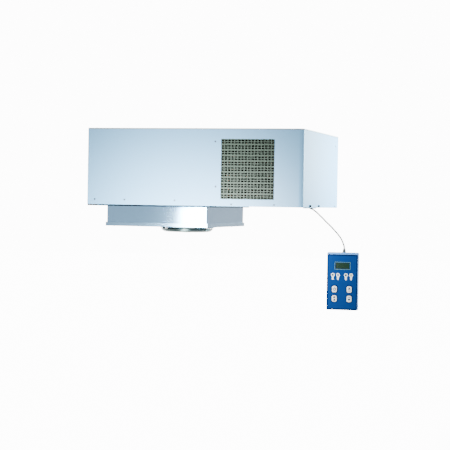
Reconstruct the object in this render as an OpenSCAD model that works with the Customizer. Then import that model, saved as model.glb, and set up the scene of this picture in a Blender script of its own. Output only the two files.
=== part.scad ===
// Ceiling-mounted monoblock refrigeration unit for a small cold room.
// The casing stands on the ceiling panel. Its left part is the insulated evaporator
// chamber, whose neck reaches down through a cut-out in the panel, and its right part
// holds the compressor and the air-cooled condenser. A handset hangs on a cable.
// Millimetres. The origin is the centre of the cut-out, on the underside of the gasket.
// X runs to the right, Y to the back and Z up.

/* [Casing] */
// Width of the condensing compartment, from the evaporator chamber to the right side
plant_w = 426.5; // [400:0.5:450]
// Height of the casing above its gasket
casing_h = 332; // [326:1:345]
// Thickness of the sheet that the casing panels are folded from
sheet_t = 1.2; // [1:0.1:1.5]
// Outer radius of the bend between the front and the right side
corner_r = 20; // [14:1:26]
// Height of the lid's turned-down edge
lid_edge = 5; // [4:0.5:8]
// Thickness of the base plate
base_t = 1.5; // [1.2:0.1:2]
// Height of the base plate's turned-up rim
rim_h = 18; // [12:1:22]

/* [Air grilles] */
// Width of each perforated grille's opening
grille_w = 233.5; // [225:0.5:240]
// From the evaporator chamber to the grille's opening
grille_off = 67.5; // [62:0.5:75]
// From the grille's opening to the casing's top
grille_head = 45.2; // [40:0.1:52]
// From the casing's bottom edge to the grille's opening
grille_rise = 30.3; // [28:0.1:36]
// Width of one hole in the grille
grille_hole_w = 10; // [7:0.5:11]
// Bar between the two holes of a pair
thin_bar = 2.6; // [2:0.1:4]
// Bar between two pairs of holes
thick_bar = 6.7; // [5:0.1:8]
// Columns of holes
grille_columns = 16; // [12:1:18]
// Pairs of rows of holes
grille_pairs = 11; // [9:1:12]
// Width of the grille's border behind the casing sheet
grille_border = 12; // [8:1:16]

/* [Neck and gasket] */
// Width of the neck that enters the ceiling, left to right
neck_w = 454; // [440:1:462]
// Depth of the neck, front to back
neck_d = 637; // [620:1:645]
// From the gasket's underside to the underside of the neck's tray
neck_drop = 88; // [80:1:100]
// From the casing's left side to the neck
neck_left = 71.5; // [66:0.5:80]
// From the casing's front to the neck
neck_front = 58.5; // [54:0.5:64]
// From the neck to the casing's back
neck_back = 72.5; // [60:0.5:80]
// Sheet thickness of the neck
neck_t = 1; // [0.8:0.1:1.5]
// Thickness of the neck's foam lining
lining_t = 30; // [24:1:34]
// Thickness of the ceiling gasket
gasket_t = 6; // [4:0.5:8]
// Width of the gasket on the neck's right and at its back
gasket_strip = 10; // [8:1:14]
// Distance that the tray stands out past the neck
tray_lip = 4.5; // [3:0.5:6]
// Height of the tray's rim
tray_rim_h = 17; // [12:1:22]
// Sheet thickness of the tray
tray_t = 1.2; // [1:0.1:1.5]
// Radius of the four fixing holes in the base
fixing_hole_r = 4.5; // [4:0.25:5.5]
// From the neck's front or back to the nearest fixing hole
fixing_end = 28.5; // [22:0.5:36]

/* [Evaporator chamber] */
// Thickness of the chamber's foam slabs
slab_t = 35; // [30:1:38]
// Distance that the chamber reaches past the neck's right side
chamber_over = 8; // [6:0.5:12]
// From the neck's lining to the outlet louvre, at its front and back
louvre_end = 57.2; // [40:0.1:90]
// Number of louvre slats
louvre_slats = 6; // [4:1:7]
// Height of the slats' steep edge
slat_w = 16; // [12:1:18]
// Width of the drip pan
pan_w = 120; // [116:1:126]
// Distance that the drip pan ends short of the neck's front and back
pan_inset = 3.5; // [2:0.5:10]
// Outer radius of the drain spigot
spigot_r = 8; // [7:0.5:10]
// Length of the drain spigot behind the casing
spigot_len = 20; // [16:1:30]

/* [Coils] */
// Outer radius of the coils' copper tube
tube_r = 4.8; // [4:0.1:5]
// Distance between neighbouring evaporator tubes
evap_pitch = 30; // [28:0.5:31]
// From the drip pan's end to the evaporator's end plate
evap_inset = 57; // [50:1:70]
// Distance between two evaporator fins
evap_fin_pitch = 14; // [12:0.5:18]
// Distance between neighbouring condenser tubes
cond_pitch = 28; // [26:0.5:29]
// Distance that the condenser reaches past the grille's opening, left and right
cond_over = 3.25; // [1:0.25:5]
// Depth of the condenser's fins
cond_d = 60; // [56:1:64]
// Distance that the condenser's fins reach past the grille's opening, above and below
cond_rise_over = 2.75; // [0.75:0.25:3.75]
// Distance between two condenser fins
cond_fin_pitch = 6.5; // [6:0.1:9]
// Thickness of one fin
fin_t = 0.5; // [0.4:0.1:0.8]

/* [Fans] */
// Radius of each fan's blades
fan_r = 100; // [95:1:101]
// Radius of the blades' hub
hub_r = 32; // [28:1:38]
// Height of the blades' hub
hub_h = 34; // [30:1:36]
// Number of blades
fan_blades = 5; // [4:1:7]
// Blade pitch in degrees
blade_pitch = 28; // [24:1:30]
// Thickness of a blade
blade_t = 2; // [1.5:0.5:3]
// Radius of the fan motors
motor_r = 40; // [34:1:42]
// Height of the fan motors
motor_h = 60; // [52:1:64]
// Radius of the fan shafts
shaft_r = 3; // [2.5:0.5:4]
// Gap between the blade tips and the ring around them
tip_gap = 3.5; // [3:0.5:5]
// From the neck's centre to the evaporator fan, to the right
evap_fan_shift = 46; // [44:1:50]
// Distance that the evaporator fan's wire guard reaches past the fan's ring
guard_over = 17.5; // [15:0.5:20]
// Drop of the guard below the tray
guard_drop = 26; // [22:1:30]
// Radius of the guard's wire
wire_r = 1.6; // [1.3:0.1:1.7]

/* [Compressor] */
// Radius of the compressor's shell
comp_r = 80; // [74:1:84]
// Height of the compressor's shell
comp_h = 190; // [170:2:200]
// From the casing's right side to the compressor's axis
comp_right = 121.5; // [116:0.5:126]
// From the casing's back to the compressor's axis
comp_back = 195; // [185:1:205]

/* [Electrical box] */
// Depth of the electrical box, away from the bulkhead
box_x = 60; // [50:1:62]
// Length of the electrical box, front to back
box_y = 240; // [220:2:250]
// From the electrical box to the casing's top
box_head = 44; // [36:1:60]
// Radius of the cable bore in the mains gland
gland_bore_r = 5; // [4:0.5:6]

/* [Handset] */
// Width of the handset
handset_w = 133.5; // [130:0.5:140]
// Height of the handset
handset_h = 247; // [240:1:252]
// Thickness of the handset
handset_t = 32; // [28:1:36]
// Wall thickness of the handset's shells
handset_wall = 2.5; // [2:0.1:3]
// Corner radius of the handset
handset_corner = 5; // [4:0.5:7]
// From the casing's right side to the handset
handset_gap = 75.5; // [74:0.5:77]
// From the gasket's underside to the top of the handset
handset_drop = 183; // [182:0.5:184]
// From the casing's front to the cable and the handset's middle
cable_inset = 180; // [176:1:184]
// Diameter of the handset's cable
cable_d = 6.5; // [5.5:0.5:8]
// Width of the display window
display_w = 73.5; // [68:0.5:78]
// Height of the display window
display_h = 34.8; // [30:0.2:38]
// Width of one button
button_w = 24; // [20:0.5:26]
// Height of one button
button_h = 30; // [26:0.5:32]
// Travel of one button
button_travel = 1.5; // [1:0.1:1.8]

/* [Hidden] */
$fn = 48;

// Length that a cutting shape runs past the face it cuts
overrun = 2;
// Gap between pieces that are laid or slid together
seat_gap = 0.3;
// Radial gap of a shaft in its bearing or hub
shaft_clearance = 0.05;
// Radial gap of a coil tube in its fin
fin_clearance = 0.2;

// Casing faces
casing_w = neck_left + neck_w + chamber_over + plant_w;
casing_d = neck_front + neck_d + neck_back;
left_x = -neck_w / 2 - neck_left;
right_x = left_x + casing_w;
front_y = -neck_d / 2 - neck_front;
rear_y = front_y + casing_d;
bottom_z = gasket_t;
top_z = bottom_z + casing_h;
panel_top = top_z - lid_edge;
base_top = bottom_z + base_t;
base_inset = sheet_t + seat_gap;
chamber_inset = base_inset + base_t + seat_gap;

// Front grille
grille_x = neck_w / 2 + chamber_over + grille_off;
grille_z = bottom_z + grille_rise;
grille_h = casing_h - grille_rise - grille_head;
grille_mid_x = grille_x + grille_w / 2;
grille_mid_z = grille_z + grille_h / 2;

// Neck
tray_top = -neck_drop + tray_t;
neck_in_x = neck_w / 2 - neck_t - seat_gap - lining_t;
neck_in_y = neck_d / 2 - neck_t - seat_gap - lining_t;
fixing_inset = 22;
fixing_x = neck_w / 2 + fixing_inset;
fixing_foot_r = 11;
fixing_spacing_y = neck_d - 2 * fixing_end;

// Baffle beside the fan's ring, and the louvre in the rest of the tray
ring_r = fan_r + tip_gap;
collar_t = 1.5;
evap_fan_x = evap_fan_shift;
evap_fan_y = 0;
baffle_t = 2;
baffle_off = 14;
baffle_x = evap_fan_x - ring_r - collar_t - baffle_off - baffle_t;
louvre_edge = 10;
louvre_flange = 8;
louvre_x = -neck_in_x + louvre_edge;
louvre_gap = 10.7;
louvre_w = baffle_x - louvre_gap - louvre_x;
louvre_d = 2 * (neck_in_y - louvre_end);
slat_t = 1;
slat_tilt = 35;

// Chamber
slab_x0 = left_x + chamber_inset;
slab_x1 = neck_w / 2 + chamber_over;
slab_y0 = front_y + chamber_inset;
slab_y1 = rear_y - chamber_inset;
slab_top = top_z - sheet_t - seat_gap;
bulkhead_hole_gap = 1;

// Condenser rows, and the pipes' radii
cond_w = grille_w + 2 * cond_over;
cond_h = grille_h + 2 * cond_rise_over;
cond_margin = 15;
cond_rows_up = floor((cond_h - 2 * cond_margin) / cond_pitch) + 1;
circuit_z = grille_mid_z - (cond_rows_up - 1) / 2 * cond_pitch;
liquid_r = 4;
suction_r = 6;
discharge_r = 5;
capillary_r = 1.5;
pipe_gap = 0.3;

// Drip pan beside the evaporator fan's motor
pan_t = 1.2;
pan_clear = 11;
pan_x = evap_fan_x - motor_r - pan_clear - pan_w;
pan_d = neck_d - 2 * pan_inset;
drain_r = spigot_r - 1;
drain_wall = 1;
drain_lift = 1;
drain_x = pan_x + pan_w / 2;
drain_z = base_top + drain_lift + drain_r;
pan_h = 2 * (drain_lift + drain_r);

// Evaporator over the pan: rows of tubes along Y, one long serpentine, an even number up
evap_rows = 3;
evap_x0 = drain_x - evap_pitch;
evap_len = pan_d - 2 * evap_inset;
evap_fin_margin = 15;
evap_room = slab_top - slab_t - evap_fin_margin - circuit_z;
evap_per_row = 2 * floor((floor(evap_room / evap_pitch) + 1) / 2);
evap_tail = 4;
plate_t = 1.5;
evap_plate_margin = 17;
evap_fin_x0 = evap_x0 - evap_fin_margin;
evap_fin_w = (evap_rows - 1) * evap_pitch + 2 * evap_fin_margin;
evap_fin_z0 = circuit_z - evap_fin_margin;
evap_fin_h = (evap_per_row - 1) * evap_pitch + 2 * evap_fin_margin;
evap_top_tube_z = circuit_z + (evap_per_row - 1) * evap_pitch;
evap_end_y = evap_len / 2 + plate_t + evap_tail;
evap_last_x = evap_x0 + (evap_rows - 1) * evap_pitch;

// Condenser: two rows of tubes along X behind the front grille
cond_gap = 6;
cond_tail = 3;
cond_y0 = front_y + 2 * sheet_t + cond_gap;
cond_mid_y = cond_y0 + cond_d / 2;
cond_x0 = grille_mid_x - cond_w / 2;
cond_x1 = cond_x0 + cond_w;
cond_z0 = grille_mid_z - cond_h / 2;
cond_plate_rise = 3;
cond_plate_top = cond_z0 + cond_h + cond_plate_rise;
cond_end_x = cond_x1 + plate_t + cond_tail;
shroud_gap = 12;
shroud_y = cond_y0 + cond_d + shroud_gap;
cond_row0_y = cond_mid_y - cond_pitch / 2;
cond_row1_y = cond_mid_y + cond_pitch / 2;
cond_collar_h = 30;
evap_collar_h = 46;

// Fan parts, drawn with the fan's plate at zero and the motor above it
hub_z = 2;
motor_gap = 6;
motor_z = hub_z + hub_h + motor_gap;
strap_w = 30;
strap_t = 2;
strap_out = 22;
strap_r = ring_r + strap_out;
strap_foot = 18;
strap_z = motor_z + motor_h;
shaft_in_motor = 22;
blade_root_w = 44;
blade_tip_w = 64;
blade_bulge = 5;

// Rings of the guard's wire, as shares of the guard's radius and of its drop
guard_ring_shares = [
    [0.987, 0.262], [0.952, 0.5], [0.888, 0.808], [0.789, 0.919],
    [0.681, 0.938], [0.572, 0.938], [0.464, 0.938], [0.355, 0.938], [0.246, 0.938]
];
// Bends of a spoke that lies inside the rings, as the same shares
guard_spoke_shares = [
    [1.066, 0.129], [0.959, 0.129], [0.919, 0.462], [0.864, 0.715], [0.785, 0.785], [0.184, 0.800]
];
guard_r = ring_r + guard_over;
guard_feet = 4;
wire_sides = 8;
guard_boss_r = 22;
guard_boss_h = 8;
guard_boss_proud = 3;
guard_foot = 16;
guard_foot_w = 24;
guard_foot_t = 1.5;
guard_screw_off = 11;

// Compressor
comp_x = right_x - comp_right;
comp_y = rear_y - comp_back;
grommet_r = 12;
grommet_h = 20;
grommet_hole_r = 4;
foot_w = 176;
foot_d = 150;
foot_t = 3;
foot_z = base_top + grommet_h;
foot_inset = 16;
comp_z = foot_z + foot_t;
comp_top = comp_z + comp_h;
comp_edge = 34;
stub_offset = 25;
cover_x = 34;
cover_y = 54;
cover_z = 60;
cover_rise = 60;

// Liquid chain beside the bulkhead: drier, valve and capillary tube on one line
chain_off = 33;
chain_x = slab_x1 + chain_off;
chain_front = 227;
chain_y = front_y + chain_front;
drier_lead = 16;
drier_r = 15;
drier_len = 110;
valve_r = 10;
valve_len = 30;
valve_coil = 26;
valve_coil_h = 38;
chain_gap = 0.3;
capillary_coil_r = 24;
capillary_coil_h = 16;
capillary_coil_wall = 5;
capillary_behind = 36.5;
capillary_run_y = evap_end_y + capillary_behind;
suction_behind = 48.5;
suction_run_y = evap_end_y + suction_behind;
drier_y = chain_y + drier_lead;
valve_y = drier_y + drier_len + chain_gap;
capillary_y = valve_y + valve_len + chain_gap;
suction_over = 20;
discharge_over = 36;
discharge_out = 27;
liquid_out = 22;
run_out_x = cond_end_x + liquid_out;
discharge_z = circuit_z + (cond_rows_up - 1) * cond_pitch;

// Electrical box on the bulkhead
box_t = 1.2;
box_x0 = slab_x1;
box_front = 237;
box_y0 = front_y + box_front;
box_rise = 98;
box_z0 = bottom_z + box_rise;
box_z = casing_h - box_rise - box_head;
board_t = 1.6;
board_edge = 14;
board_off = 12;
relay_w = 22;
relay_d = 28;
relay_h = 20;
relay_count = 4;
block_w = 12;
block_h = 24;
block_d = 120;

// Mains gland in the rear panel
gland_off = 27;
gland_x = slab_x1 + gland_off;
gland_rise = 54;
gland_z = bottom_z + gland_rise;
gland_r = 11;
gland_out = 20;
gland_in = 8;
gland_thread_r = 8;
gland_hex_h = 6;
gland_hex_r = 13;
hole_gap = 0.3;

// Rear grille stands where the front one does, seen through the casing
rear_grille_x = grille_x;

// Cable outlet under the right side's bottom edge
clamp_len = 183;
clamp_front = 97;
clamp_w = 20;
clamp_t = 3.5;
outlet_len = 22;
outlet_w = 22;
outlet_h = 9;
outlet_tilt = 34;
cable_y = front_y + cable_inset;
cable_sides = 10;
// Points of the handset's cable, chosen by hand from the outlet to the handset's gland:
// the distance past the casing's right side, and the height
cable_points = [
    [2.5, 1], [11.5, -5], [23.5, -14], [36.5, -26], [49.5, -38], [62.5, -51], [76.5, -64],
    [90.5, -77], [104.5, -92], [117.5, -106], [128.5, -120], [136.5, -134], [142.5, -148],
    [145.5, -158], [146.5, -167]
];
cable_route = [for (p = cable_points) [right_x + p[0], cable_y, p[1]]];
cable_start = cable_route[0];
cable_end = cable_route[len(cable_route) - 1];

// Handset, facing the front
handset_x = right_x + handset_gap;
handset_top = -handset_drop;
handset_bottom = handset_top - handset_h;
handset_front = cable_y - handset_t / 2;
handset_back = cable_y + handset_t / 2;
front_shell_d = 12;
shell_split_y = handset_front + front_shell_d;
overlay_t = 0.8;
overlay_top_band = 9;
overlay_edge = 1.5;
face_y = handset_front + overlay_t;
strain_top_r = 5.5;
strain_base_r = 8;
strain_h = 16;
display_left = 30.6;
display_down = 39.7;
display_proud = 0.4;
display_depth = 3;
display_gap = 0.3;
led_r = 4;
led_down = 97;
led_proud = 0.5;
led_depth = 4;
led_shares = [0.195, 0.364, 0.62, 0.79];
led_across = [for (p = led_shares) p * handset_w];
button_gap = 0.4;
button_corner = 7;
button_proud = 3.5;
button_flange = 2;
button_flange_t = 2;
button_column_shares = [0.258, 0.738];
button_row_shares = [0.638, 0.802];
button_columns = [for (p = button_column_shares) p * handset_w];
button_rows = [for (p = button_row_shares) p * handset_h];
board_depth = 9.5;
board_y = handset_front + board_depth;
switch_w = 12;
switch_gap = 0.3;
wall_hole_r = 2.2;
wall_hole_spacing = 180;

// Screw heads
head_r = 4.2;
head_h = 2.2;
front_screw_shares = [
    [0.599, 0.828], [0.603, 0.25], [0.036, 0.063], [0.178, 0.064], [0.414, 0.064],
    [0.677, 0.025], [0.871, 0.025]
];
side_screw_shares = [[0.178, 0.02], [0.421, 0.02], [0.92, 0.02], [0.92, 0.86]];
left_screw_shares = [[0.06, 0.063], [0.5, 0.063], [0.94, 0.063], [0.06, 0.86], [0.94, 0.86]];
rear_screw_shares = [[0.02, 0.06], [0.3, 0.06], [0.6, 0.06], [0.02, 0.86], [0.3, 0.86], [0.6, 0.86]];
lid_screw_shares = [[0.03, 0.04], [0.5, 0.04], [0.03, 0.96], [0.5, 0.96], [0.97, 0.96], [0.93, 0.12]];
tray_screw_shares = [[0.475, -0.24], [0.475, 0.24], [-0.475, -0.4], [-0.475, 0.4]];

// Plan of the casing, drawn in by inset, with its one rounded corner at the front right
module casing_plan(inset) {
    cx = right_x - corner_r;
    cy = front_y + corner_r;
    translate([left_x + inset, front_y + inset])
        square([cx - left_x - inset, casing_d - 2 * inset]);
    translate([left_x + inset, cy])
        square([casing_w - 2 * inset, casing_d - corner_r - inset]);
    translate([cx, cy]) circle(r = corner_r - inset);
}

// Plain box from its low corner
module box(low, size) { translate(low) cube(size); }

// Round bar from one point to another
module bar(a, b, r) {
    d = b - a;
    l = norm(d);
    translate(a) rotate([0, acos(d[2] / l), atan2(d[1], d[0])]) cylinder(r = r, h = l);
}

// Pipe through a list of points, with ball elbows
module pipe(points, r) {
    for (i = [0 : len(points) - 2]) bar(points[i], points[i + 1], r);
    for (i = [1 : len(points) - 2]) translate(points[i]) sphere(r = r);
}

// Rectangle with rounded corners, from its low corner
module rounded(w, h, r) {
    translate([r, 0]) square([w - 2 * r, h]);
    translate([0, r]) square([w, h - 2 * r]);
    for (x = [r, w - r], y = [r, h - r]) translate([x, y]) circle(r = r);
}

// Flat plate that faces the front: its outline is drawn in X and Z
module upright(back_y, t) {
    translate([0, back_y, 0]) rotate([90, 0, 0]) linear_extrude(t) children();
}

// Casing
module casing_wrap() {
    color("lightsteelblue") difference() {
        translate([0, 0, bottom_z]) linear_extrude(panel_top - bottom_z) difference() {
            casing_plan(0);
            casing_plan(sheet_t);
            translate([left_x - overrun, front_y + sheet_t])
                square([casing_w - corner_r, casing_d]);
            translate([left_x, rear_y - sheet_t])
                square([casing_w - sheet_t, sheet_t + overrun]);
        }
        box([grille_x, front_y - overrun, grille_z], [grille_w, sheet_t + 2 * overrun, grille_h]);
    }
}

module left_panel() {
    color("lightsteelblue")
        box([left_x, front_y + sheet_t, bottom_z],
            [sheet_t, casing_d - 2 * sheet_t, panel_top - bottom_z]);
}

module rear_panel() {
    color("lightsteelblue") difference() {
        box([left_x, rear_y - sheet_t, bottom_z],
            [casing_w - sheet_t, sheet_t, panel_top - bottom_z]);
        box([rear_grille_x, rear_y - sheet_t - overrun, grille_z],
            [grille_w, sheet_t + 2 * overrun, grille_h]);
        translate([gland_x, rear_y - sheet_t - overrun, gland_z]) rotate([-90, 0, 0])
            cylinder(r = gland_thread_r + hole_gap, h = sheet_t + 2 * overrun);
        translate([drain_x, rear_y - sheet_t - overrun, drain_z]) rotate([-90, 0, 0])
            cylinder(r = drain_r + hole_gap, h = sheet_t + 2 * overrun);
    }
}

module top_lid() {
    color("aliceblue") {
        translate([0, 0, top_z - sheet_t]) linear_extrude(sheet_t) casing_plan(0);
        translate([0, 0, panel_top]) linear_extrude(lid_edge) difference() {
            casing_plan(0);
            casing_plan(sheet_t);
        }
    }
}

// Perforated grille, its low left corner at the opening's, facing the front
module grille(x, back_y) {
    column_pitch = grille_w / grille_columns;
    pair_pitch = grille_h / grille_pairs;
    hole_h = (pair_pitch - thin_bar - thick_bar) / 2;
    upright(back_y, sheet_t) difference() {
        translate([x - grille_border, grille_z - grille_border])
            square([grille_w + 2 * grille_border, grille_h + 2 * grille_border]);
        for (i = [0 : grille_columns - 1], j = [0 : grille_pairs - 1], k = [0, 1])
            translate([x + i * column_pitch + (column_pitch - grille_hole_w) / 2,
                       grille_z + j * pair_pitch + thick_bar / 2 + k * (hole_h + thin_bar)])
                square([grille_hole_w, hole_h]);
    }
}

module inlet_grille() { color("darkseagreen") grille(grille_x, front_y + 2 * sheet_t); }

module rear_grille() { color("darkseagreen") grille(rear_grille_x, rear_y - sheet_t); }

// Base plate with a turned-up rim, and a pressed foot at each fixing beyond the gasket
module base_plate() {
    color("silver") difference() {
        union() {
            translate([0, 0, bottom_z]) {
                linear_extrude(base_t) casing_plan(base_inset);
                linear_extrude(rim_h) difference() {
                    casing_plan(base_inset);
                    casing_plan(base_inset + base_t);
                }
            }
            for (y = [-0.5, 0.5]) translate([fixing_x, y * fixing_spacing_y, 0])
                cylinder(r = fixing_foot_r, h = bottom_z + base_t);
        }
        box([-neck_in_x, -neck_in_y, bottom_z - overrun],
            [2 * neck_in_x, 2 * neck_in_y, base_t + 2 * overrun]);
        for (x = [-fixing_x, fixing_x], y = [-0.5, 0.5])
            translate([x, y * fixing_spacing_y, -overrun])
                cylinder(r = fixing_hole_r, h = bottom_z + base_t + 2 * overrun);
        translate([drain_x, rear_y, drain_z]) rotate([90, 0, 0])
            cylinder(r = drain_r + hole_gap, h = chamber_inset + overrun);
    }
}

// Black foam strips between the base and the ceiling panel
module ceiling_gasket() {
    inset = sheet_t;
    x0 = left_x + inset;
    x1 = neck_w / 2 + gasket_strip;
    y1 = neck_d / 2 + gasket_strip;
    in_x = neck_w / 2 + seat_gap;
    in_y = neck_d / 2 + seat_gap;
    color("black") {
        box([x0, front_y + inset, 0], [x1 - x0, -in_y - front_y - inset, gasket_t]);
        box([x0, in_y, 0], [x1 - x0, y1 - in_y, gasket_t]);
        box([in_x, -in_y + seat_gap, 0], [x1 - in_x, 2 * (in_y - seat_gap), gasket_t]);
        difference() {
            box([x0, -in_y + seat_gap, 0], [-in_x - x0, 2 * (in_y - seat_gap), gasket_t]);
            for (y = [-0.5, 0.5]) translate([-fixing_x, y * fixing_spacing_y, -overrun])
                cylinder(r = fixing_hole_r, h = gasket_t + 2 * overrun);
        }
    }
}

// Four walls round the middle of the neck, front and back ones first
module four_walls(half_x, half_y, t, z0, h) {
    for (s = [-1, 1]) {
        translate([-half_x, s > 0 ? half_y - t : -half_y, z0]) cube([2 * half_x, t, h]);
        translate([s > 0 ? half_x - t : -half_x, -half_y + t + seat_gap, z0])
            cube([t, 2 * (half_y - t - seat_gap), h]);
    }
}

module neck_skin() {
    color("gainsboro")
        four_walls(neck_w / 2, neck_d / 2, neck_t, tray_top, bottom_z - tray_top);
}

module neck_lining() {
    inset = neck_t + seat_gap;
    color("khaki")
        four_walls(neck_w / 2 - inset, neck_d / 2 - inset, lining_t,
                   tray_top + seat_gap, bottom_z - tray_top - 2 * seat_gap);
}

module bottom_tray() {
    w = neck_w + 2 * tray_lip;
    d = neck_d + 2 * tray_lip;
    color("lightgray") translate([0, 0, -neck_drop]) {
        linear_extrude(tray_t) difference() {
            translate([-w / 2, -d / 2]) square([w, d]);
            translate([evap_fan_x, evap_fan_y]) circle(r = ring_r);
            translate([louvre_x, -louvre_d / 2]) square([louvre_w, louvre_d]);
        }
        linear_extrude(tray_rim_h) difference() {
            translate([-w / 2, -d / 2]) square([w, d]);
            translate([-w / 2 + tray_t, -d / 2 + tray_t]) square([w - 2 * tray_t, d - 2 * tray_t]);
        }
        translate([evap_fan_x, evap_fan_y]) linear_extrude(evap_collar_h) difference() {
            circle(r = ring_r + collar_t);
            circle(r = ring_r);
        }
    }
}

module outlet_louvre() {
    pitch = louvre_w / louvre_slats;
    end_t = 1.5;
    color("white") {
        difference() {
            box([louvre_x - louvre_flange, -louvre_d / 2 - louvre_flange, tray_top],
                [louvre_w + 2 * louvre_flange, louvre_d + 2 * louvre_flange, tray_t]);
            box([louvre_x, -louvre_d / 2, tray_top - overrun],
                [louvre_w, louvre_d, tray_t + 2 * overrun]);
        }
        for (y = [-louvre_d / 2 - end_t, louvre_d / 2])
            box([louvre_x, y, tray_top], [louvre_w, end_t, slat_w + tray_t]);
        for (i = [0 : louvre_slats - 1])
            translate([louvre_x + (i + 0.5) * pitch, -louvre_d / 2 - end_t / 2, tray_top + slat_w / 2])
                rotate([0, slat_tilt, 0])
                    translate([-slat_t / 2, 0, -slat_w / 2]) cube([slat_t, louvre_d + end_t, slat_w]);
    }
}

module air_baffle() {
    color("white")
        box([baffle_x, -neck_in_y + seat_gap, tray_top],
            [baffle_t, 2 * (neck_in_y - seat_gap), base_top - tray_top - seat_gap]);
}

// Five foam slabs that line the chamber
module chamber_insulation() {
    wall_h = slab_top - slab_t - seat_gap - base_top;
    inner_y0 = slab_y0 + slab_t + seat_gap;
    inner_d = slab_y1 - slab_y0 - 2 * (slab_t + seat_gap);
    color("khaki") {
        box([slab_x0, slab_y0, slab_top - slab_t], [slab_x1 - slab_x0, slab_y1 - slab_y0, slab_t]);
        box([slab_x0, slab_y0, base_top], [slab_x1 - slab_x0, slab_t, wall_h]);
        difference() {
            box([slab_x0, slab_y1 - slab_t, base_top], [slab_x1 - slab_x0, slab_t, wall_h]);
            box([drain_x - drain_r - bulkhead_hole_gap, slab_y1 - slab_t - overrun, base_top - overrun],
                [2 * (drain_r + bulkhead_hole_gap), slab_t + 2 * overrun,
                 overrun + drain_z - base_top + drain_r + bulkhead_hole_gap]);
        }
        box([slab_x0, inner_y0, base_top], [slab_t, inner_d, wall_h]);
        difference() {
            box([slab_x1 - slab_t, inner_y0, base_top], [slab_t, inner_d, wall_h]);
            translate([slab_x1 - slab_t - overrun, capillary_run_y, circuit_z]) rotate([0, 90, 0])
                cylinder(r = capillary_r + bulkhead_hole_gap, h = slab_t + 2 * overrun);
            translate([slab_x1 - slab_t - overrun, suction_run_y, evap_top_tube_z]) rotate([0, 90, 0])
                cylinder(r = suction_r + bulkhead_hole_gap, h = slab_t + 2 * overrun);
        }
    }
}

module drip_pan() {
    color("silver") difference() {
        box([pan_x, -pan_d / 2, base_top], [pan_w, pan_d, pan_h]);
        box([pan_x + pan_t, -pan_d / 2 + pan_t, base_top + pan_t],
            [pan_w - 2 * pan_t, pan_d - 2 * pan_t, pan_h]);
        translate([drain_x, pan_d / 2 - pan_t - overrun, drain_z]) rotate([-90, 0, 0])
            cylinder(r = drain_r - drain_wall, h = pan_t + 2 * overrun);
    }
}

module drain_pipe() {
    color("dimgray") translate([drain_x, 0, drain_z]) rotate([-90, 0, 0]) difference() {
        union() {
            translate([0, 0, pan_d / 2]) cylinder(r = drain_r, h = rear_y - pan_d / 2);
            translate([0, 0, rear_y]) cylinder(r = spigot_r, h = spigot_len);
        }
        translate([0, 0, pan_d / 2 - overrun])
            cylinder(r = drain_r - drain_wall, h = rear_y + spigot_len - pan_d / 2 + 2 * overrun);
    }
}

// Places of the coil tubes in the plane of the fins, in the order the refrigerant takes
evap_places = [
    for (k = [0 : evap_rows * evap_per_row - 1])
        let (row = floor(k / evap_per_row), i = k % evap_per_row)
        [evap_x0 + row * evap_pitch,
         circuit_z + (row % 2 == 0 ? i : evap_per_row - 1 - i) * evap_pitch]
];
cond_places = [
    for (k = [0 : 2 * cond_rows_up - 1])
        let (j = floor(k / 2), near = (j % 2 == 0) == (k % 2 == 0))
        [near ? cond_row0_y : cond_row1_y, discharge_z - j * cond_pitch]
];

// Serpentine: straight tubes along Z at the given places, joined by bends
module serpentine(places, l, tail) {
    half = l / 2 + plate_t + tail;
    for (k = [0 : len(places) - 1]) {
        translate([places[k][0], places[k][1], -half]) cylinder(r = tube_r, h = 2 * half);
        if (k < len(places) - 1) {
            d = places[k + 1] - places[k];
            mid = (places[k + 1] + places[k]) / 2;
            low = k % 2 == 0;
            translate([mid[0], mid[1], low ? -half : half])
                rotate([0, 0, atan2(d[1], d[0])])
                    rotate([low ? -90 : 90, 0, 0])
                        rotate_extrude(angle = 180) translate([norm(d) / 2, 0]) circle(r = tube_r);
        }
    }
}

// Thin plates with a hole for each tube, spread over a length
module fin_plates(places, low, size, t, pitch, l, hole_r) {
    n = floor(l / pitch);
    for (i = [0 : n - 1]) translate([0, 0, -l / 2 + (i + 0.5) * l / n - t / 2])
        linear_extrude(t) difference() {
            translate(low) square(size);
            for (p = places) translate(p) circle(r = hole_r);
        }
}

// Turns a coil drawn along Z: the evaporator's tubes lie along Y
module along_y() { rotate([-90, 0, 0]) mirror([0, 1, 0]) children(); }

// The condenser's tubes lie along X, and its places are given as Y and Z
module along_x() {
    translate([grille_mid_x, 0, 0]) rotate([90, 0, 90]) children();
}

module evaporator_fins() {
    color("lightgray") along_y()
        fin_plates(evap_places, [evap_fin_x0, evap_fin_z0], [evap_fin_w, evap_fin_h],
                   fin_t, evap_fin_pitch, evap_len, tube_r + fin_clearance);
}

module evaporator_tubes() {
    color("peru") along_y() serpentine(evap_places, evap_len, evap_tail);
}

module evaporator_end_plates() {
    z0 = base_top + pan_t;
    color("silver") along_y() for (s = [-1, 1])
        translate([0, 0, s > 0 ? evap_len / 2 : -evap_len / 2 - plate_t])
            linear_extrude(plate_t) difference() {
                translate([evap_x0 - evap_plate_margin, z0])
                    square([(evap_rows - 1) * evap_pitch + 2 * evap_plate_margin,
                            evap_fin_z0 + evap_fin_h - z0]);
                for (p = evap_places) translate(p) circle(r = tube_r + fin_clearance);
            }
}

module condenser_fins() {
    color("darkslategray") along_x()
        fin_plates(cond_places, [cond_y0, cond_z0], [cond_d, cond_h],
                   fin_t, cond_fin_pitch, cond_w, tube_r + fin_clearance);
}

module condenser_tubes() {
    color("peru") along_x() serpentine(cond_places, cond_w, cond_tail);
}

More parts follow.
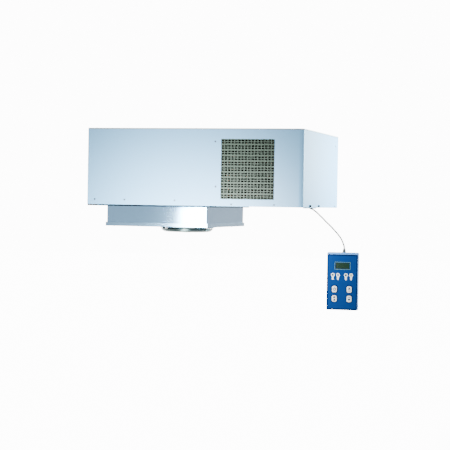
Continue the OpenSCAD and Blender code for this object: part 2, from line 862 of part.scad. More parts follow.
module condenser_end_plates() {
    color("silver") along_x() for (s = [-1, 1])
        translate([0, 0, s > 0 ? cond_w / 2 : -cond_w / 2 - plate_t])
            linear_extrude(plate_t) difference() {
                translate([cond_y0, base_top]) square([shroud_y - cond_y0, cond_plate_top - base_top]);
                for (p = cond_places) translate(p) circle(r = tube_r + fin_clearance);
            }
}

module condenser_shroud() {
    color("silver") {
        upright(shroud_y + sheet_t, sheet_t) difference() {
            translate([cond_x0 - plate_t, base_top])
                square([cond_w + 2 * plate_t, cond_plate_top - base_top]);
            translate([grille_mid_x, grille_mid_z]) circle(r = ring_r);
        }
        translate([grille_mid_x, shroud_y, grille_mid_z]) rotate([-90, 0, 0])
            linear_extrude(cond_collar_h) difference() {
                circle(r = ring_r + collar_t);
                circle(r = ring_r);
            }
    }
}

// Places for the two fans
module at_evap_fan() { translate([evap_fan_x, evap_fan_y, tray_top]) children(); }

module at_cond_fan() {
    translate([grille_mid_x, shroud_y + sheet_t, grille_mid_z]) rotate([-90, 0, 0]) children();
}

module fan_blade_wheel() {
    difference() {
        union() {
            translate([0, 0, hub_z]) cylinder(r = hub_r, h = hub_h);
            intersection() {
                translate([0, 0, hub_z]) cylinder(r = fan_r, h = hub_h);
                for (i = [0 : fan_blades - 1]) rotate([0, 0, i * 360 / fan_blades])
                    translate([0, 0, hub_z + hub_h / 2]) rotate([blade_pitch, 0, 0])
                        linear_extrude(blade_t, center = true)
                            polygon([[hub_r / 2, -blade_root_w / 2], [fan_r, -blade_tip_w / 2],
                                     [fan_r + blade_bulge, 0], [fan_r, blade_tip_w / 2],
                                     [hub_r / 2, blade_root_w / 2]]);
            }
        }
        cylinder(r = shaft_r + shaft_clearance, h = hub_z + hub_h + overrun);
    }
}

module fan_shaft() {
    translate([0, 0, hub_z]) cylinder(r = shaft_r, h = motor_z - hub_z + shaft_in_motor);
}

module fan_motor() {
    difference() {
        union() {
            translate([0, 0, motor_z + motor_gap]) cylinder(r = motor_r, h = motor_h - motor_gap);
            translate([0, 0, motor_z]) cylinder(r = motor_r / 2, h = motor_gap);
        }
        translate([0, 0, motor_z - overrun])
            cylinder(r = shaft_r + shaft_clearance, h = shaft_in_motor + 2 * overrun);
    }
}

// Strap over the motor, with a foot on the fan's plate at each end
module fan_bracket() {
    for (s = [0, 180]) rotate([0, 0, s]) {
        box([-strap_w / 2, strap_r, 0], [strap_w, strap_t, strap_z + strap_t]);
        box([-strap_w / 2, strap_r + strap_t - strap_foot, 0], [strap_w, strap_foot, strap_t]);
        box([-strap_w / 2, 0, strap_z], [strap_w, strap_r + strap_t, strap_t]);
    }
}

module evap_fan_bracket() { color("silver") at_evap_fan() fan_bracket(); }
module evap_fan_motor() { color("dimgray") at_evap_fan() fan_motor(); }
module evap_fan_shaft() { color("gainsboro") at_evap_fan() fan_shaft(); }
module evap_fan_blades() { color("lightgray") at_evap_fan() fan_blade_wheel(); }
module condenser_fan_bracket() { color("silver") at_cond_fan() fan_bracket(); }
module condenser_fan_motor() { color("dimgray") at_cond_fan() fan_motor(); }
module condenser_fan_shaft() { color("gainsboro") at_cond_fan() fan_shaft(); }
module condenser_fan_blades() { color("lightgray") at_cond_fan() fan_blade_wheel(); }

// Wire guard: rings outside, spokes lying inside them, a centre plate and feet
module evap_fan_guard() {
    color("gainsboro") translate([evap_fan_x, evap_fan_y, -neck_drop]) {
        for (p = guard_ring_shares) rotate_extrude()
            translate([p[0] * guard_r, -p[1] * guard_drop]) circle(r = wire_r, $fn = 16);
        for (i = [0 : guard_feet - 1]) at_guard_foot(i) {
            swept_tube([for (p = guard_spoke_shares) [p[0] * guard_r, 0, -p[1] * guard_drop]],
                       wire_r, wire_sides);
            box([guard_r - wire_r, -guard_foot_w / 4, -guard_foot_t],
                [guard_foot, guard_foot_w, guard_foot_t]);
        }
        translate([0, 0, -guard_drop - guard_boss_proud])
            cylinder(r = guard_boss_r, h = guard_boss_h);
    }
}

module at_guard_foot(i) { rotate([0, 0, (i + 0.5) * 360 / guard_feet]) children(); }

// Compressor
module compressor_shell() {
    color("black") translate([comp_x, comp_y, comp_z]) rotate_extrude() {
        square([comp_r - comp_edge, comp_h]);
        translate([0, comp_edge]) square([comp_r, comp_h - 2 * comp_edge]);
        for (z = [comp_edge, comp_h - comp_edge])
            translate([comp_r - comp_edge, z]) circle(r = comp_edge);
    }
}

module at_feet() {
    for (x = [-1, 1], y = [-1, 1])
        translate([comp_x + x * (foot_w / 2 - foot_inset), comp_y + y * (foot_d / 2 - foot_inset), 0])
            children();
}

module compressor_feet() {
    color("dimgray") difference() {
        box([comp_x - foot_w / 2, comp_y - foot_d / 2, foot_z], [foot_w, foot_d, foot_t]);
        at_feet() translate([0, 0, foot_z - overrun])
            cylinder(r = grommet_hole_r, h = foot_t + 2 * overrun);
    }
}

module compressor_grommets() {
    color("black") at_feet() translate([0, 0, base_top]) difference() {
        cylinder(r = grommet_r, h = grommet_h);
        translate([0, 0, -overrun]) cylinder(r = grommet_hole_r, h = grommet_h + 2 * overrun);
    }
}

module terminal_cover() {
    color("dimgray") difference() {
        box([comp_x - comp_r - cover_x / 2, comp_y - cover_y / 2, comp_z + cover_rise],
            [cover_x, cover_y, cover_z]);
        translate([comp_x, comp_y, comp_z]) cylinder(r = comp_r + seat_gap, h = comp_h);
    }
}

// Refrigerant circuit
module filter_drier() {
    color("peru") translate([chain_x, drier_y, circuit_z]) rotate([-90, 0, 0]) {
        neck = drier_r;
        translate([0, 0, neck]) cylinder(r = drier_r, h = drier_len - 2 * neck);
        cylinder(r1 = liquid_r, r2 = drier_r, h = neck);
        translate([0, 0, drier_len - neck]) cylinder(r1 = drier_r, r2 = liquid_r, h = neck);
    }
}

module solenoid_valve() {
    color("peru") translate([chain_x, valve_y, circuit_z]) rotate([-90, 0, 0])
        cylinder(r = valve_r, h = valve_len);
    color("black")
        box([chain_x - valve_coil / 2, valve_y + (valve_len - valve_coil) / 2, circuit_z + valve_r / 2],
            [valve_coil, valve_coil, valve_coil_h]);
}

module capillary_tube() {
    coil_y = capillary_y + 3 * capillary_coil_r;
    color("peru") {
        pipe([[chain_x, capillary_y, circuit_z], [chain_x, capillary_run_y, circuit_z],
              [evap_x0, capillary_run_y, circuit_z],
              [evap_x0, evap_end_y + pipe_gap, circuit_z]], capillary_r);
        translate([chain_x + capillary_coil_r - capillary_coil_wall / 2, coil_y,
                   circuit_z - capillary_coil_h / 2])
            difference() {
                cylinder(r = capillary_coil_r, h = capillary_coil_h);
                translate([0, 0, -overrun])
                    cylinder(r = capillary_coil_r - capillary_coil_wall,
                             h = capillary_coil_h + 2 * overrun);
            }
    }
}

module suction_line() {
    x = comp_x - stub_offset;
    z = comp_top + suction_over;
    color("peru") pipe([
        [evap_last_x, evap_end_y + pipe_gap, evap_top_tube_z],
        [evap_last_x, suction_run_y, evap_top_tube_z],
        [chain_x, suction_run_y, evap_top_tube_z],
        [chain_x, suction_run_y, z],
        [x, suction_run_y, z],
        [x, comp_y, z],
        [x, comp_y, comp_top + pipe_gap]], suction_r);
}

module discharge_line() {
    stub_x = comp_x + stub_offset;
    x = cond_end_x + discharge_out;
    z = comp_top + discharge_over;
    color("peru") pipe([
        [stub_x, comp_y, comp_top + pipe_gap],
        [stub_x, comp_y, z],
        [x, comp_y, z],
        [x, cond_row0_y, z],
        [x, cond_row0_y, discharge_z],
        [cond_end_x + pipe_gap, cond_row0_y, discharge_z]], discharge_r);
}

module liquid_line() {
    color("peru") pipe([
        [cond_end_x + pipe_gap, cond_row1_y, circuit_z],
        [run_out_x, cond_row1_y, circuit_z],
        [run_out_x, chain_y, circuit_z],
        [chain_x, chain_y, circuit_z],
        [chain_x, drier_y - chain_gap, circuit_z]], liquid_r);
}

// Electrical parts
module electrical_box() {
    color("silver") difference() {
        box([box_x0, box_y0, box_z0], [box_x, box_y, box_z]);
        box([box_x0 + box_t, box_y0 + box_t, box_z0 + box_t],
            [box_x, box_y - 2 * box_t, box_z - 2 * box_t]);
    }
}

module electrical_box_cover() {
    color("gainsboro") box([box_x0 + box_x, box_y0, box_z0], [box_t, box_y, box_z]);
}

module control_board() {
    x = box_x0 + box_t + board_off;
    y = box_y0 + board_edge;
    z = box_z0 + board_edge;
    w = box_y - 2 * board_edge;
    h = box_z - 2 * board_edge;
    pitch = w / relay_count;
    post_r = 3;
    color("darkgreen") {
        box([x, y, z], [board_t, w, h]);
        for (i = [0 : relay_count - 1])
            box([x + board_t, y + (i + 0.5) * pitch - relay_w / 2, z + h - relay_d - board_edge],
                [relay_h, relay_w, relay_d]);
        box([x + board_t, y + (w - block_d) / 2, z + board_edge], [block_w, block_d, block_h]);
        for (py = [y + board_edge, y + w - board_edge], pz = [z + board_edge / 2, z + h - board_edge / 2])
            translate([box_x0 + box_t, py, pz]) rotate([0, 90, 0]) cylinder(r = post_r, h = board_off);
    }
}

module mains_gland() {
    color("dimgray") translate([gland_x, rear_y, gland_z]) rotate([-90, 0, 0]) difference() {
        union() {
            cylinder(r = gland_hex_r, h = gland_hex_h, $fn = 6);
            cylinder(r = gland_r, h = gland_out);
            translate([0, 0, -gland_in]) cylinder(r = gland_thread_r, h = gland_in);
        }
        translate([0, 0, -gland_in - overrun])
            cylinder(r = gland_bore_r, h = gland_in + gland_out + 2 * overrun);
    }
}

// Bar under the right side's edge, with the outlet that holds the handset's cable
module cable_clamp() {
    color("dimgray") difference() {
        union() {
            box([right_x - clamp_w, front_y + clamp_front, bottom_z - clamp_t],
                [clamp_w, clamp_len, clamp_t]);
            translate(cable_start) rotate([0, outlet_tilt, 0])
                box([-outlet_len, -outlet_w / 2, -outlet_h / 2], [outlet_len, outlet_w, outlet_h]);
        }
        box([right_x - 2 * clamp_w, cable_y - outlet_w, bottom_z],
            [4 * clamp_w, 2 * outlet_w, 2 * clamp_w]);
    }
}

// Tube swept along a route that lies in one upright plane
function unit(v) = v / norm(v);
function heading(p, i) =
    unit(p[min(i + 1, len(p) - 1)] - p[max(i - 1, 0)]);
function ring_at(p, i, r, n) =
    let (t = heading(p, i), side = [0, 1, 0], up = cross(side, t))
    [for (k = [0 : n - 1]) p[i] + r * (cos(k * 360 / n) * side + sin(k * 360 / n) * up)];

module swept_tube(p, r, n) {
    m = len(p);
    points = [for (i = [0 : m - 1]) each ring_at(p, i, r, n)];
    walls = [for (i = [0 : m - 2], k = [0 : n - 1])
             let (a = i * n + k, b = i * n + (k + 1) % n)
             each [[a, b, b + n], [a, b + n, a + n]]];
    first = [for (k = [1 : n - 2]) [0, k + 1, k]];
    last = [for (k = [1 : n - 2]) let (o = (m - 1) * n) [o, o + k, o + k + 1]];
    polyhedron(points, concat(walls, first, last));
}

module remote_cable() { color("silver") swept_tube(cable_route, cable_d / 2, cable_sides); }

module remote_gland() {
    color("gainsboro") translate([cable_end[0], cable_end[1], handset_top])
        cylinder(r1 = strain_base_r, r2 = strain_top_r, h = strain_h);
}

// Handset outline, drawn in by inset
module handset_outline(inset) {
    translate([handset_x + inset, handset_bottom + inset])
        rounded(handset_w - 2 * inset, handset_h - 2 * inset, handset_corner - inset);
}

module remote_back_shell() {
    color("whitesmoke") difference() {
        upright(handset_back, handset_back - shell_split_y) handset_outline(0);
        upright(handset_back - handset_wall, handset_t) handset_outline(handset_wall);
        for (s = [-0.5, 0.5])
            translate([handset_x + handset_w / 2, handset_back + overrun,
                       handset_bottom + handset_h / 2 + s * wall_hole_spacing])
                rotate([90, 0, 0]) cylinder(r = wall_hole_r, h = handset_wall + 2 * overrun);
    }
}

// Openings in the front face: the display, the lamps and the buttons
module face_openings(gap) {
    translate([handset_x + display_left - gap, handset_top - display_down - display_h - gap])
        square([display_w + 2 * gap, display_h + 2 * gap]);
    for (x = led_across) translate([handset_x + x, handset_top - led_down]) circle(r = led_r + gap);
    for (x = button_columns, z = button_rows) button_outline(x, z, button_gap);
}

// One button's outline, let out by gap
module button_outline(x, z, gap) {
    w = button_w + 2 * gap;
    h = button_h + 2 * gap;
    translate([handset_x + x - w / 2, handset_top - z - h / 2]) rounded(w, h, button_corner + gap);
}

module remote_front_shell() {
    color("whitesmoke") difference() {
        upright(shell_split_y, shell_split_y - face_y) handset_outline(0);
        upright(shell_split_y + overrun, shell_split_y + overrun - face_y - handset_wall)
            handset_outline(handset_wall);
        upright(shell_split_y, handset_t) face_openings(display_gap);
    }
}

module remote_overlay() {
    color("steelblue") upright(face_y, overlay_t) difference() {
        intersection() {
            handset_outline(0);
            translate([handset_x, handset_bottom + overlay_edge])
                square([handset_w, handset_h - overlay_edge - overlay_top_band]);
        }
        face_openings(display_gap);
    }
}

module display_window() {
    color("darkgreen") upright(face_y + display_depth, display_depth + overlay_t + display_proud)
        translate([handset_x + display_left, handset_top - display_down - display_h])
            square([display_w, display_h]);
}

module led_lenses() {
    color("white") for (x = led_across)
        upright(face_y + led_depth, led_depth + overlay_t + led_proud)
            translate([handset_x + x, handset_top - led_down]) circle(r = led_r);
}

// Button with a flange that keeps it in its opening
module button(x, z) {
    flange_front = face_y + handset_wall + seat_gap;
    color("white") {
        upright(flange_front, flange_front - handset_front + button_proud) button_outline(x, z, 0);
        upright(flange_front + button_flange_t, button_flange_t) button_outline(x, z, button_flange);
    }
}

module remote_board() {
    flange_back = face_y + handset_wall + seat_gap + button_flange_t;
    switch_front = flange_back + button_travel + switch_gap;
    color("darkgreen") {
        upright(shell_split_y, shell_split_y - board_y) handset_outline(handset_wall + seat_gap);
        for (x = button_columns, z = button_rows)
            box([handset_x + x - switch_w / 2, switch_front, handset_top - z - switch_w / 2],
                [switch_w, board_y - switch_front, switch_w]);
    }
}

// Domed screw head on a face, pointing up
module head() {
    intersection() {
        cylinder(r = head_r, h = head_h);
        translate([0, 0, head_h - 2 * head_r]) sphere(r = 2 * head_r);
    }
}

module casing_screws() {
    color("silver") {
        for (p = front_screw_shares)
            translate([left_x + p[0] * casing_w, front_y, bottom_z + p[1] * casing_h])
                rotate([90, 0, 0]) head();
        for (p = side_screw_shares)
            translate([right_x, front_y + p[0] * casing_d, bottom_z + p[1] * casing_h])
                rotate([0, 90, 0]) head();
        for (p = left_screw_shares)
            translate([left_x, front_y + p[0] * casing_d, bottom_z + p[1] * casing_h])
                rotate([0, -90, 0]) head();
        for (p = rear_screw_shares)
            translate([left_x + p[0] * casing_w, rear_y, bottom_z + p[1] * casing_h])
                rotate([-90, 0, 0]) head();
        for (p = lid_screw_shares)
            translate([left_x + p[0] * casing_w, front_y + p[1] * casing_d, top_z]) head();
        for (p = tray_screw_shares)
            translate([p[0] * neck_w, p[1] * neck_d, -neck_drop]) rotate([180, 0, 0]) head();
        translate([evap_fan_x, evap_fan_y, -neck_drop - guard_foot_t])
            for (i = [0 : guard_feet - 1]) at_guard_foot(i)
                translate([guard_r - wire_r + guard_foot / 2, guard_screw_off, 0])
                    rotate([180, 0, 0]) head();
    }
}

casing_wrap();
left_panel();
rear_panel();
top_lid();
inlet_grille();
rear_grille();
base_plate();
ceiling_gasket();
neck_skin();
neck_lining();
bottom_tray();
outlet_louvre();
air_baffle();
chamber_insulation();
drip_pan();
drain_pipe();
evaporator_fins();
evaporator_tubes();
evaporator_end_plates();
evap_fan_guard();
evap_fan_bracket();
evap_fan_motor();
evap_fan_shaft();
evap_fan_blades();
condenser_fins();
condenser_tubes();
condenser_end_plates();
condenser_shroud();
condenser_fan_bracket();
condenser_fan_motor();
condenser_fan_shaft();
condenser_fan_blades();
compressor_shell();
compressor_feet();
compressor_grommets();
terminal_cover();
filter_drier();
solenoid_valve();
capillary_tube();
suction_line();
discharge_line();
liquid_line();
electrical_box();
electrical_box_cover();
control_board();
mains_gland();
cable_clamp();
remote_cable();
remote_gland();
remote_back_shell();
remote_front_shell();
remote_overlay();
display_window();
led_lenses();
button(button_columns[0], button_rows[0]);  // button_upper_left
button(button_columns[1], button_rows[0]);  // button_upper_right
button(button_columns[0], button_rows[1]);  // button_lower_left
button(button_columns[1], button_rows[1]);  // button_lower_right
remote_board();
casing_screws();
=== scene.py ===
"""A ceiling-mounted monoblock refrigeration unit and its handset, dressed round the CAD frame.

Metres, in the frame's axes: X to the right, Y to the back, Z up. The origin is the middle of
the ceiling cut-out, on the underside of the gasket.
"""
import math

import bmesh
import bpy
from mathutils import Matrix, Vector


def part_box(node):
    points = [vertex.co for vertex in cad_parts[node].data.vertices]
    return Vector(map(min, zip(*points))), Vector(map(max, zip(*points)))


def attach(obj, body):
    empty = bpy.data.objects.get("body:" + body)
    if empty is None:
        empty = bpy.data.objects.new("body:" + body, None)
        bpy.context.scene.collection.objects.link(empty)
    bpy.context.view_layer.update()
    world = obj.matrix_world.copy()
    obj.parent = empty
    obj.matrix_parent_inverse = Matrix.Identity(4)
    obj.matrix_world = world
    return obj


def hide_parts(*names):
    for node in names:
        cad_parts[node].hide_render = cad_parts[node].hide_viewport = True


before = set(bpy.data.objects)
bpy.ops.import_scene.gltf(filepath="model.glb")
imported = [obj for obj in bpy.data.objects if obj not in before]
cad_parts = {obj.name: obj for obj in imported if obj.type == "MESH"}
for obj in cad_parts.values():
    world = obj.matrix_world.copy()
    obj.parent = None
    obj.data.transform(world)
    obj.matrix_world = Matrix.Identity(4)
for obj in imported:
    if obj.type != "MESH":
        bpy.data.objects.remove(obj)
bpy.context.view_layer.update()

# Bodies of the record
UNIT = "unit"
EVAP_FAN = "evap_fan"
CONDENSER_FAN = "condenser_fan"

FULL_TURN = 2 * math.pi


# Camera: a little to the right of the front, level with the unit's underside

CAMERA_PLACE = Vector((1.9779, -6.5377, 0.0210))
CAMERA_TURN = math.radians(15.018)
CAMERA_TILT = math.radians(-0.85)
CAMERA_ROLL = math.radians(0.975)
CAMERA_LENS = 120.0
CAMERA_SENSOR = 36.0


def make_camera():
    """Looks to the back left, slightly down, and leans a little to one side."""
    forward = Vector((-math.sin(CAMERA_TURN) * math.cos(CAMERA_TILT),
                      math.cos(CAMERA_TURN) * math.cos(CAMERA_TILT),
                      math.sin(CAMERA_TILT)))
    right = Vector((math.cos(CAMERA_TURN), math.sin(CAMERA_TURN), 0))
    up = right.cross(forward)
    leaning_right = math.cos(CAMERA_ROLL) * right + math.sin(CAMERA_ROLL) * up
    leaning_up = math.cos(CAMERA_ROLL) * up - math.sin(CAMERA_ROLL) * right
    data = bpy.data.cameras.new("camera")
    data.lens = CAMERA_LENS
    data.sensor_width = CAMERA_SENSOR
    data.clip_end = 200
    camera = bpy.data.objects.new("camera", data)
    camera.matrix_world = (Matrix.Translation(CAMERA_PLACE)
                           @ Matrix((leaning_right, leaning_up, -forward)).transposed().to_4x4())
    bpy.context.scene.collection.objects.link(camera)
    bpy.context.scene.camera = camera


make_camera()


# Node trees: materials and Geometry Nodes are written as sums of sockets

class Value:
    """An output socket that takes part in sums as a number does."""

    def __init__(self, tree, socket):
        self.tree = tree
        self.socket = socket

    def math(self, operation, *terms):
        inputs = dict(enumerate(terms))
        return self.tree.node("ShaderNodeMath", {"operation": operation}, inputs)

    def __add__(self, other):
        return self.math("ADD", self, other)

    def __radd__(self, other):
        return self.math("ADD", other, self)

    def __sub__(self, other):
        return self.math("SUBTRACT", self, other)

    def __rsub__(self, other):
        return self.math("SUBTRACT", other, self)

    def __mul__(self, other):
        return self.math("MULTIPLY", self, other)

    def __rmul__(self, other):
        return self.math("MULTIPLY", other, self)

    def __truediv__(self, other):
        return self.math("DIVIDE", self, other)

    def __pow__(self, other):
        return self.math("POWER", self, other)

    def sine(self):
        return self.math("SINE", self)

    def size(self):
        return self.math("ABSOLUTE", self)

    def over(self, edge):
        return self.math("GREATER_THAN", self, edge)

    def most(self, other):
        return self.math("MAXIMUM", self, other)

    def least(self, other):
        return self.math("MINIMUM", self, other)


class Tree:
    """Adds nodes to a tree, and links or sets their sockets."""

    def __init__(self, tree):
        self.tree = tree

    def node(self, kind, settings=None, inputs=None, output=0):
        node = self.tree.nodes.new(kind)
        for label, setting in (settings or {}).items():
            if label == "stops":
                self.set_stops(node.color_ramp, setting)
            else:
                setattr(node, label, setting)
        for label, value in (inputs or {}).items():
            self.feed(node.inputs[label], value)
        return Value(self, node.outputs[output])

    def feed(self, socket, value):
        if isinstance(value, Value):
            self.tree.links.new(value.socket, socket)
        else:
            socket.default_value = value

    @staticmethod
    def set_stops(ramp, stops):
        while len(ramp.elements) < len(stops):
            ramp.elements.new(1.0)
        for element, (place, colour) in zip(ramp.elements, stops):
            element.position = place
            element.color = colour

    def vector(self, x=0.0, y=0.0, z=0.0):
        return self.node("ShaderNodeCombineXYZ", inputs={0: x, 1: y, 2: z})

    def parts(self, vector):
        split = self.node("ShaderNodeSeparateXYZ", inputs={0: vector}).socket.node
        return [Value(self, split.outputs[k]) for k in range(3)]


def rgb(red, green, blue):
    """A colour for a shader socket, from three shares of light."""
    return (red, green, blue, 1.0)


def shaded(colour, share):
    """The same colour with a share of its light."""
    return rgb(*(share * part for part in colour[:3]))


class Finish(Tree):
    """A material: constants go straight on the shader's sockets, and patterns are fed to them."""

    def __init__(self, name, colour, roughness=0.5, **constants):
        self.material = bpy.data.materials.new(name)
        self.material.use_nodes = True
        super().__init__(self.material.node_tree)
        self.shader = self.tree.nodes["Principled BSDF"]
        self.base = colour
        self.gloss = roughness
        self.place = self.node("ShaderNodeTexCoord", output="Object")
        self.material.diffuse_color = colour
        self.set("Base Color", colour)
        self.set("Roughness", roughness)
        for label, value in constants.items():
            self.set(label.replace("_", " "), value)

    def set(self, label, value):
        self.feed(self.shader.inputs[label], value)

    def stretched(self, x=1.0, y=1.0, z=1.0):
        """Object coordinates, scaled along each axis."""
        return self.node("ShaderNodeMapping", inputs={"Vector": self.place, "Scale": (x, y, z)})

    def noise(self, scale, detail=2.0, place=None, roughness=0.5):
        return self.node("ShaderNodeTexNoise", inputs={
            "Vector": place or self.place, "Scale": scale, "Detail": detail,
            "Roughness": roughness})

    def cells(self, scale, output="Distance"):
        return self.node("ShaderNodeTexVoronoi", None, {"Vector": self.place, "Scale": scale}, output)

    def blend(self, share, first, second):
        """Colour between two colours."""
        return self.node("ShaderNodeMix", {"data_type": "RGBA"}, {0: share, 6: first, 7: second}, 2)

    def spread(self, value, low, high, to_low=0.0, to_high=1.0):
        """Maps a range of a value to another, held at both ends."""
        return self.node("ShaderNodeMapRange", inputs={
            "Value": value, "From Min": low, "From Max": high, "To Min": to_low, "To Max": to_high})

    def tone(self, share, darkest=0.85):
        """Lets a pattern darken the base colour."""
        self.set("Base Color", self.blend(share, self.base, shaded(self.base, darkest)))

    def sheen_of(self, pattern, swing):
        """Lets a pattern change the roughness round its own value."""
        self.set("Roughness", self.gloss + (pattern - 0.5) * swing)

    def bump(self, height, strength, distance):
        self.set("Normal", self.node("ShaderNodeBump", inputs={
            "Strength": strength, "Distance": distance, "Height": height}))


# Finishes

def powder_coat(name, colour, roughness=0.36, **constants):
    """Baked paint on sheet: fine orange peel, faint clouds and a little wiped-in dust."""
    f = Finish(name, colour, roughness, **constants)
    clouds = f.noise(2.6, 4.0)
    wiped = f.noise(7.0, 3.0, f.stretched(0.35, 0.35, 2.4))
    dust = f.spread(f.noise(160, 5.0, roughness=0.7), 0.55, 0.85)
    f.tone(clouds * 0.35 + wiped * 0.25 + dust * 0.25, 0.9)
    f.sheen_of(clouds * 0.5 + wiped * 0.5, 0.12)
    f.bump(f.noise(520, 1.5) + clouds * 3, 0.05, 0.0004)
    return f.material


def galvanised(name, colour, roughness=0.42):
    """Zinc-coated sheet with its crystal spangle."""
    f = Finish(name, colour, roughness, Metallic=0.92)
    spangle = f.cells(95, output="Color")
    split = f.node("ShaderNodeSeparateColor", inputs={0: spangle})
    cloud = f.noise(12, 4.0)
    f.tone(split * 0.75 + cloud * 0.3, 0.74)
    f.sheen_of(split, 0.22)
    f.bump(f.noise(260, 3.0), 0.05, 0.0003)
    return f.material


def brushed_steel(name, colour, roughness=0.2):
    """Bright rolled sheet: long fine streaks along its length and a slight waviness."""
    f = Finish(name, colour, roughness, Metallic=1.0)
    streaks = f.noise(60, 5.0, f.stretched(0.6, 0.6, 22), 0.65)
    smears = f.noise(5, 3.0)
    f.tone(streaks * 0.35 + smears * 0.4, 0.82)
    f.sheen_of(streaks * 0.6 + smears * 0.4, 0.14)
    f.bump(f.noise(2.2, 1.0) * 14 + streaks * 0.25, 0.06, 0.001)
    return f.material


def bright_metal(name, colour, roughness=0.25, smear=0.8):
    """Plated or drawn metal with smears and tiny scratches."""
    f = Finish(name, colour, roughness, Metallic=1.0)
    smears = f.noise(38, 4.0)
    scratches = f.noise(420, 4.0, f.stretched(1, 0.12, 1))
    f.tone(smears * 0.6 + scratches * 0.3, smear)
    f.sheen_of(smears, 0.2)
    f.bump(scratches, 0.08, 0.0002)
    return f.material


def copper_tube(name, colour, roughness=0.32):
    """Drawn copper with brown tarnish in patches."""
    f = Finish(name, colour, roughness, Metallic=1.0)
    patches = f.spread(f.noise(26, 5.0, roughness=0.65), 0.42, 0.68)
    f.set("Base Color", f.blend(patches, colour, rgb(0.28, 0.11, 0.05)))
    f.sheen_of(patches, 0.3)
    f.bump(f.noise(600, 2.0), 0.05, 0.0002)
    return f.material


def moulded(name, colour, roughness=0.42, grain=700, depth=0.06, **constants):
    """Moulded plastic or rubber with a fine eroded grain."""
    f = Finish(name, colour, roughness, **constants)
    flow = f.noise(18, 3.0)
    pits = f.noise(grain, 2.0)
    f.tone(flow * 0.5 + pits * 0.3, 0.88)
    f.sheen_of(pits, 0.14)
    f.bump(pits, depth, 0.0003)
    return f.material


def foam(name, colour, cell=520, roughness=0.95):
    """Cut foam with open cells."""
    f = Finish(name, colour, roughness, Specular_IOR_Level=0.05)
    pores = f.cells(cell)
    f.tone(f.spread(pores, 0.1, 0.6) * 0.8 + f.noise(30, 4.0) * 0.3, 0.55)
    f.bump(pores, 0.5, 0.0006)
    return f.material


def circuit_lacquer(name, colour):
    """Green board lacquer over straight copper tracks."""
    f = Finish(name, colour, 0.35)
    _, along, up = f.parts(f.place)
    tracks = (along * 900).sine().most((up * 640).sine())
    drawn = f.spread(tracks * f.noise(60, 1.0).over(0.5), 0.75, 0.95)
    f.set("Base Color", f.blend(drawn, colour, rgb(0.12, 0.3, 0.08)))
    f.bump(drawn, 0.3, 0.0002)
    return f.material


def printed_foil(name, colour, border, low, high, margin):
    """Satin foil with a darker printed border, worked out from the foil's own edges."""
    f = Finish(name, colour, 0.55, Specular_IOR_Level=0.02)
    across, _, up = f.parts(f.place)
    middle_x = (low.x + high.x) / 2
    middle_z = (low.z + high.z) / 2
    inside_x = (high.x - low.x) / 2 - (across - middle_x).size()
    inside_z = (high.z - low.z) / 2 - (up - middle_z).size()
    edge = f.spread(inside_x.least(inside_z), margin * 0.45, margin, 1.0, 0.0)
    ink = f.blend(f.noise(9, 3.0) * 0.4, colour, shaded(colour, 0.8))
    f.set("Base Color", f.blend(edge, ink, border))
    f.sheen_of(f.noise(500, 2.0), 0.1)
    f.bump(f.noise(900, 2.0), 0.04, 0.0002)
    return f.material


def dark_glass(name, colour, low, high, shadow):
    """Unlit display: deep green, with painted shade along the left, lower and upper edges under its
    frame.
    """
    f = Finish(name, colour, 0.3, Specular_IOR_Level=0.06)
    across, _, up = f.parts(f.place)
    # Painted shade: masks that darken the glass along its left, lower and upper edges, as its frame's
    # shadow
    shaded_left = f.spread(across, low.x, low.x + shadow, 1.0, 0.0)
    shaded_foot = f.spread(up, low.z, low.z + shadow * 0.6, 0.7, 0.0)
    shaded_head = f.spread(up, high.z - shadow * 0.4, high.z, 0.0, 0.6)
    dark = shaded_left.most(shaded_foot).most(shaded_head)
    cloudy = f.blend(f.noise(60, 3.0) * 0.5, colour, shaded(colour, 0.75))
    f.set("Base Color", f.blend(dark, cloudy, shaded(colour, 0.12)))
    f.sheen_of(f.noise(20, 2.0), 0.1)
    return f.material


CORE_LAY = 0.017


def cable_jacket(name, colour):
    """Cable sheath with the lay of its cores showing through, along the cable's own length."""
    f = Finish(name, colour, 0.48)
    own = f.node("ShaderNodeUVMap", {"uv_map": "UVMap"})
    round_it, along, _ = f.parts(own)
    lay = ((round_it * 2 + along / CORE_LAY) * FULL_TURN).sine() * 0.5 + 0.5
    f.set("Base Color", f.blend(lay * 0.6 + f.noise(80, 3.0) * 0.3, shaded(colour, 0.78), colour))
    f.sheen_of(f.noise(300, 2.0), 0.15)
    f.bump(lay, 0.35, 0.0008)
    return f.material


overlay_low, overlay_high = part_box("remote_overlay")

casing_paint = powder_coat("casing_paint", rgb(0.15, 0.345, 0.54), 0.4, Specular_IOR_Level=0.3)
lid_paint = powder_coat("lid_paint", rgb(0.2, 0.26, 0.31), 0.4)
grille_paint = powder_coat("grille_paint", rgb(0.031, 0.05, 0.037), 0.5, Specular_IOR_Level=0.2)
zinc_sheet = galvanised("zinc_sheet", rgb(0.56, 0.59, 0.61))
neck_steel = brushed_steel("neck_steel", rgb(0.28, 0.5, 0.74), 0.11)
tray_steel = brushed_steel("tray_steel", rgb(0.26, 0.46, 0.66), 0.16)
gasket_foam = foam("gasket_foam", rgb(0.0016, 0.0024, 0.0026))
slab_foam = foam("slab_foam", rgb(0.72, 0.58, 0.3), 300)
white_plastic = moulded("white_plastic", rgb(0.72, 0.74, 0.74))
dark_plastic = moulded("dark_plastic", rgb(0.045, 0.052, 0.055))
grey_plastic = moulded("grey_plastic", rgb(0.3, 0.33, 0.33))
clamp_grey = moulded("clamp_grey", rgb(0.04, 0.05, 0.052), 0.5, Specular_IOR_Level=0.2)
copper = copper_tube("copper", rgb(0.8, 0.38, 0.22))
brass = copper_tube("brass", rgb(0.72, 0.5, 0.22))
fin_metal = bright_metal("fin_metal", rgb(0.68, 0.7, 0.71), 0.38)
dark_fin = moulded("dark_fin", rgb(0.03, 0.045, 0.035), 0.5, 400, 0.1)
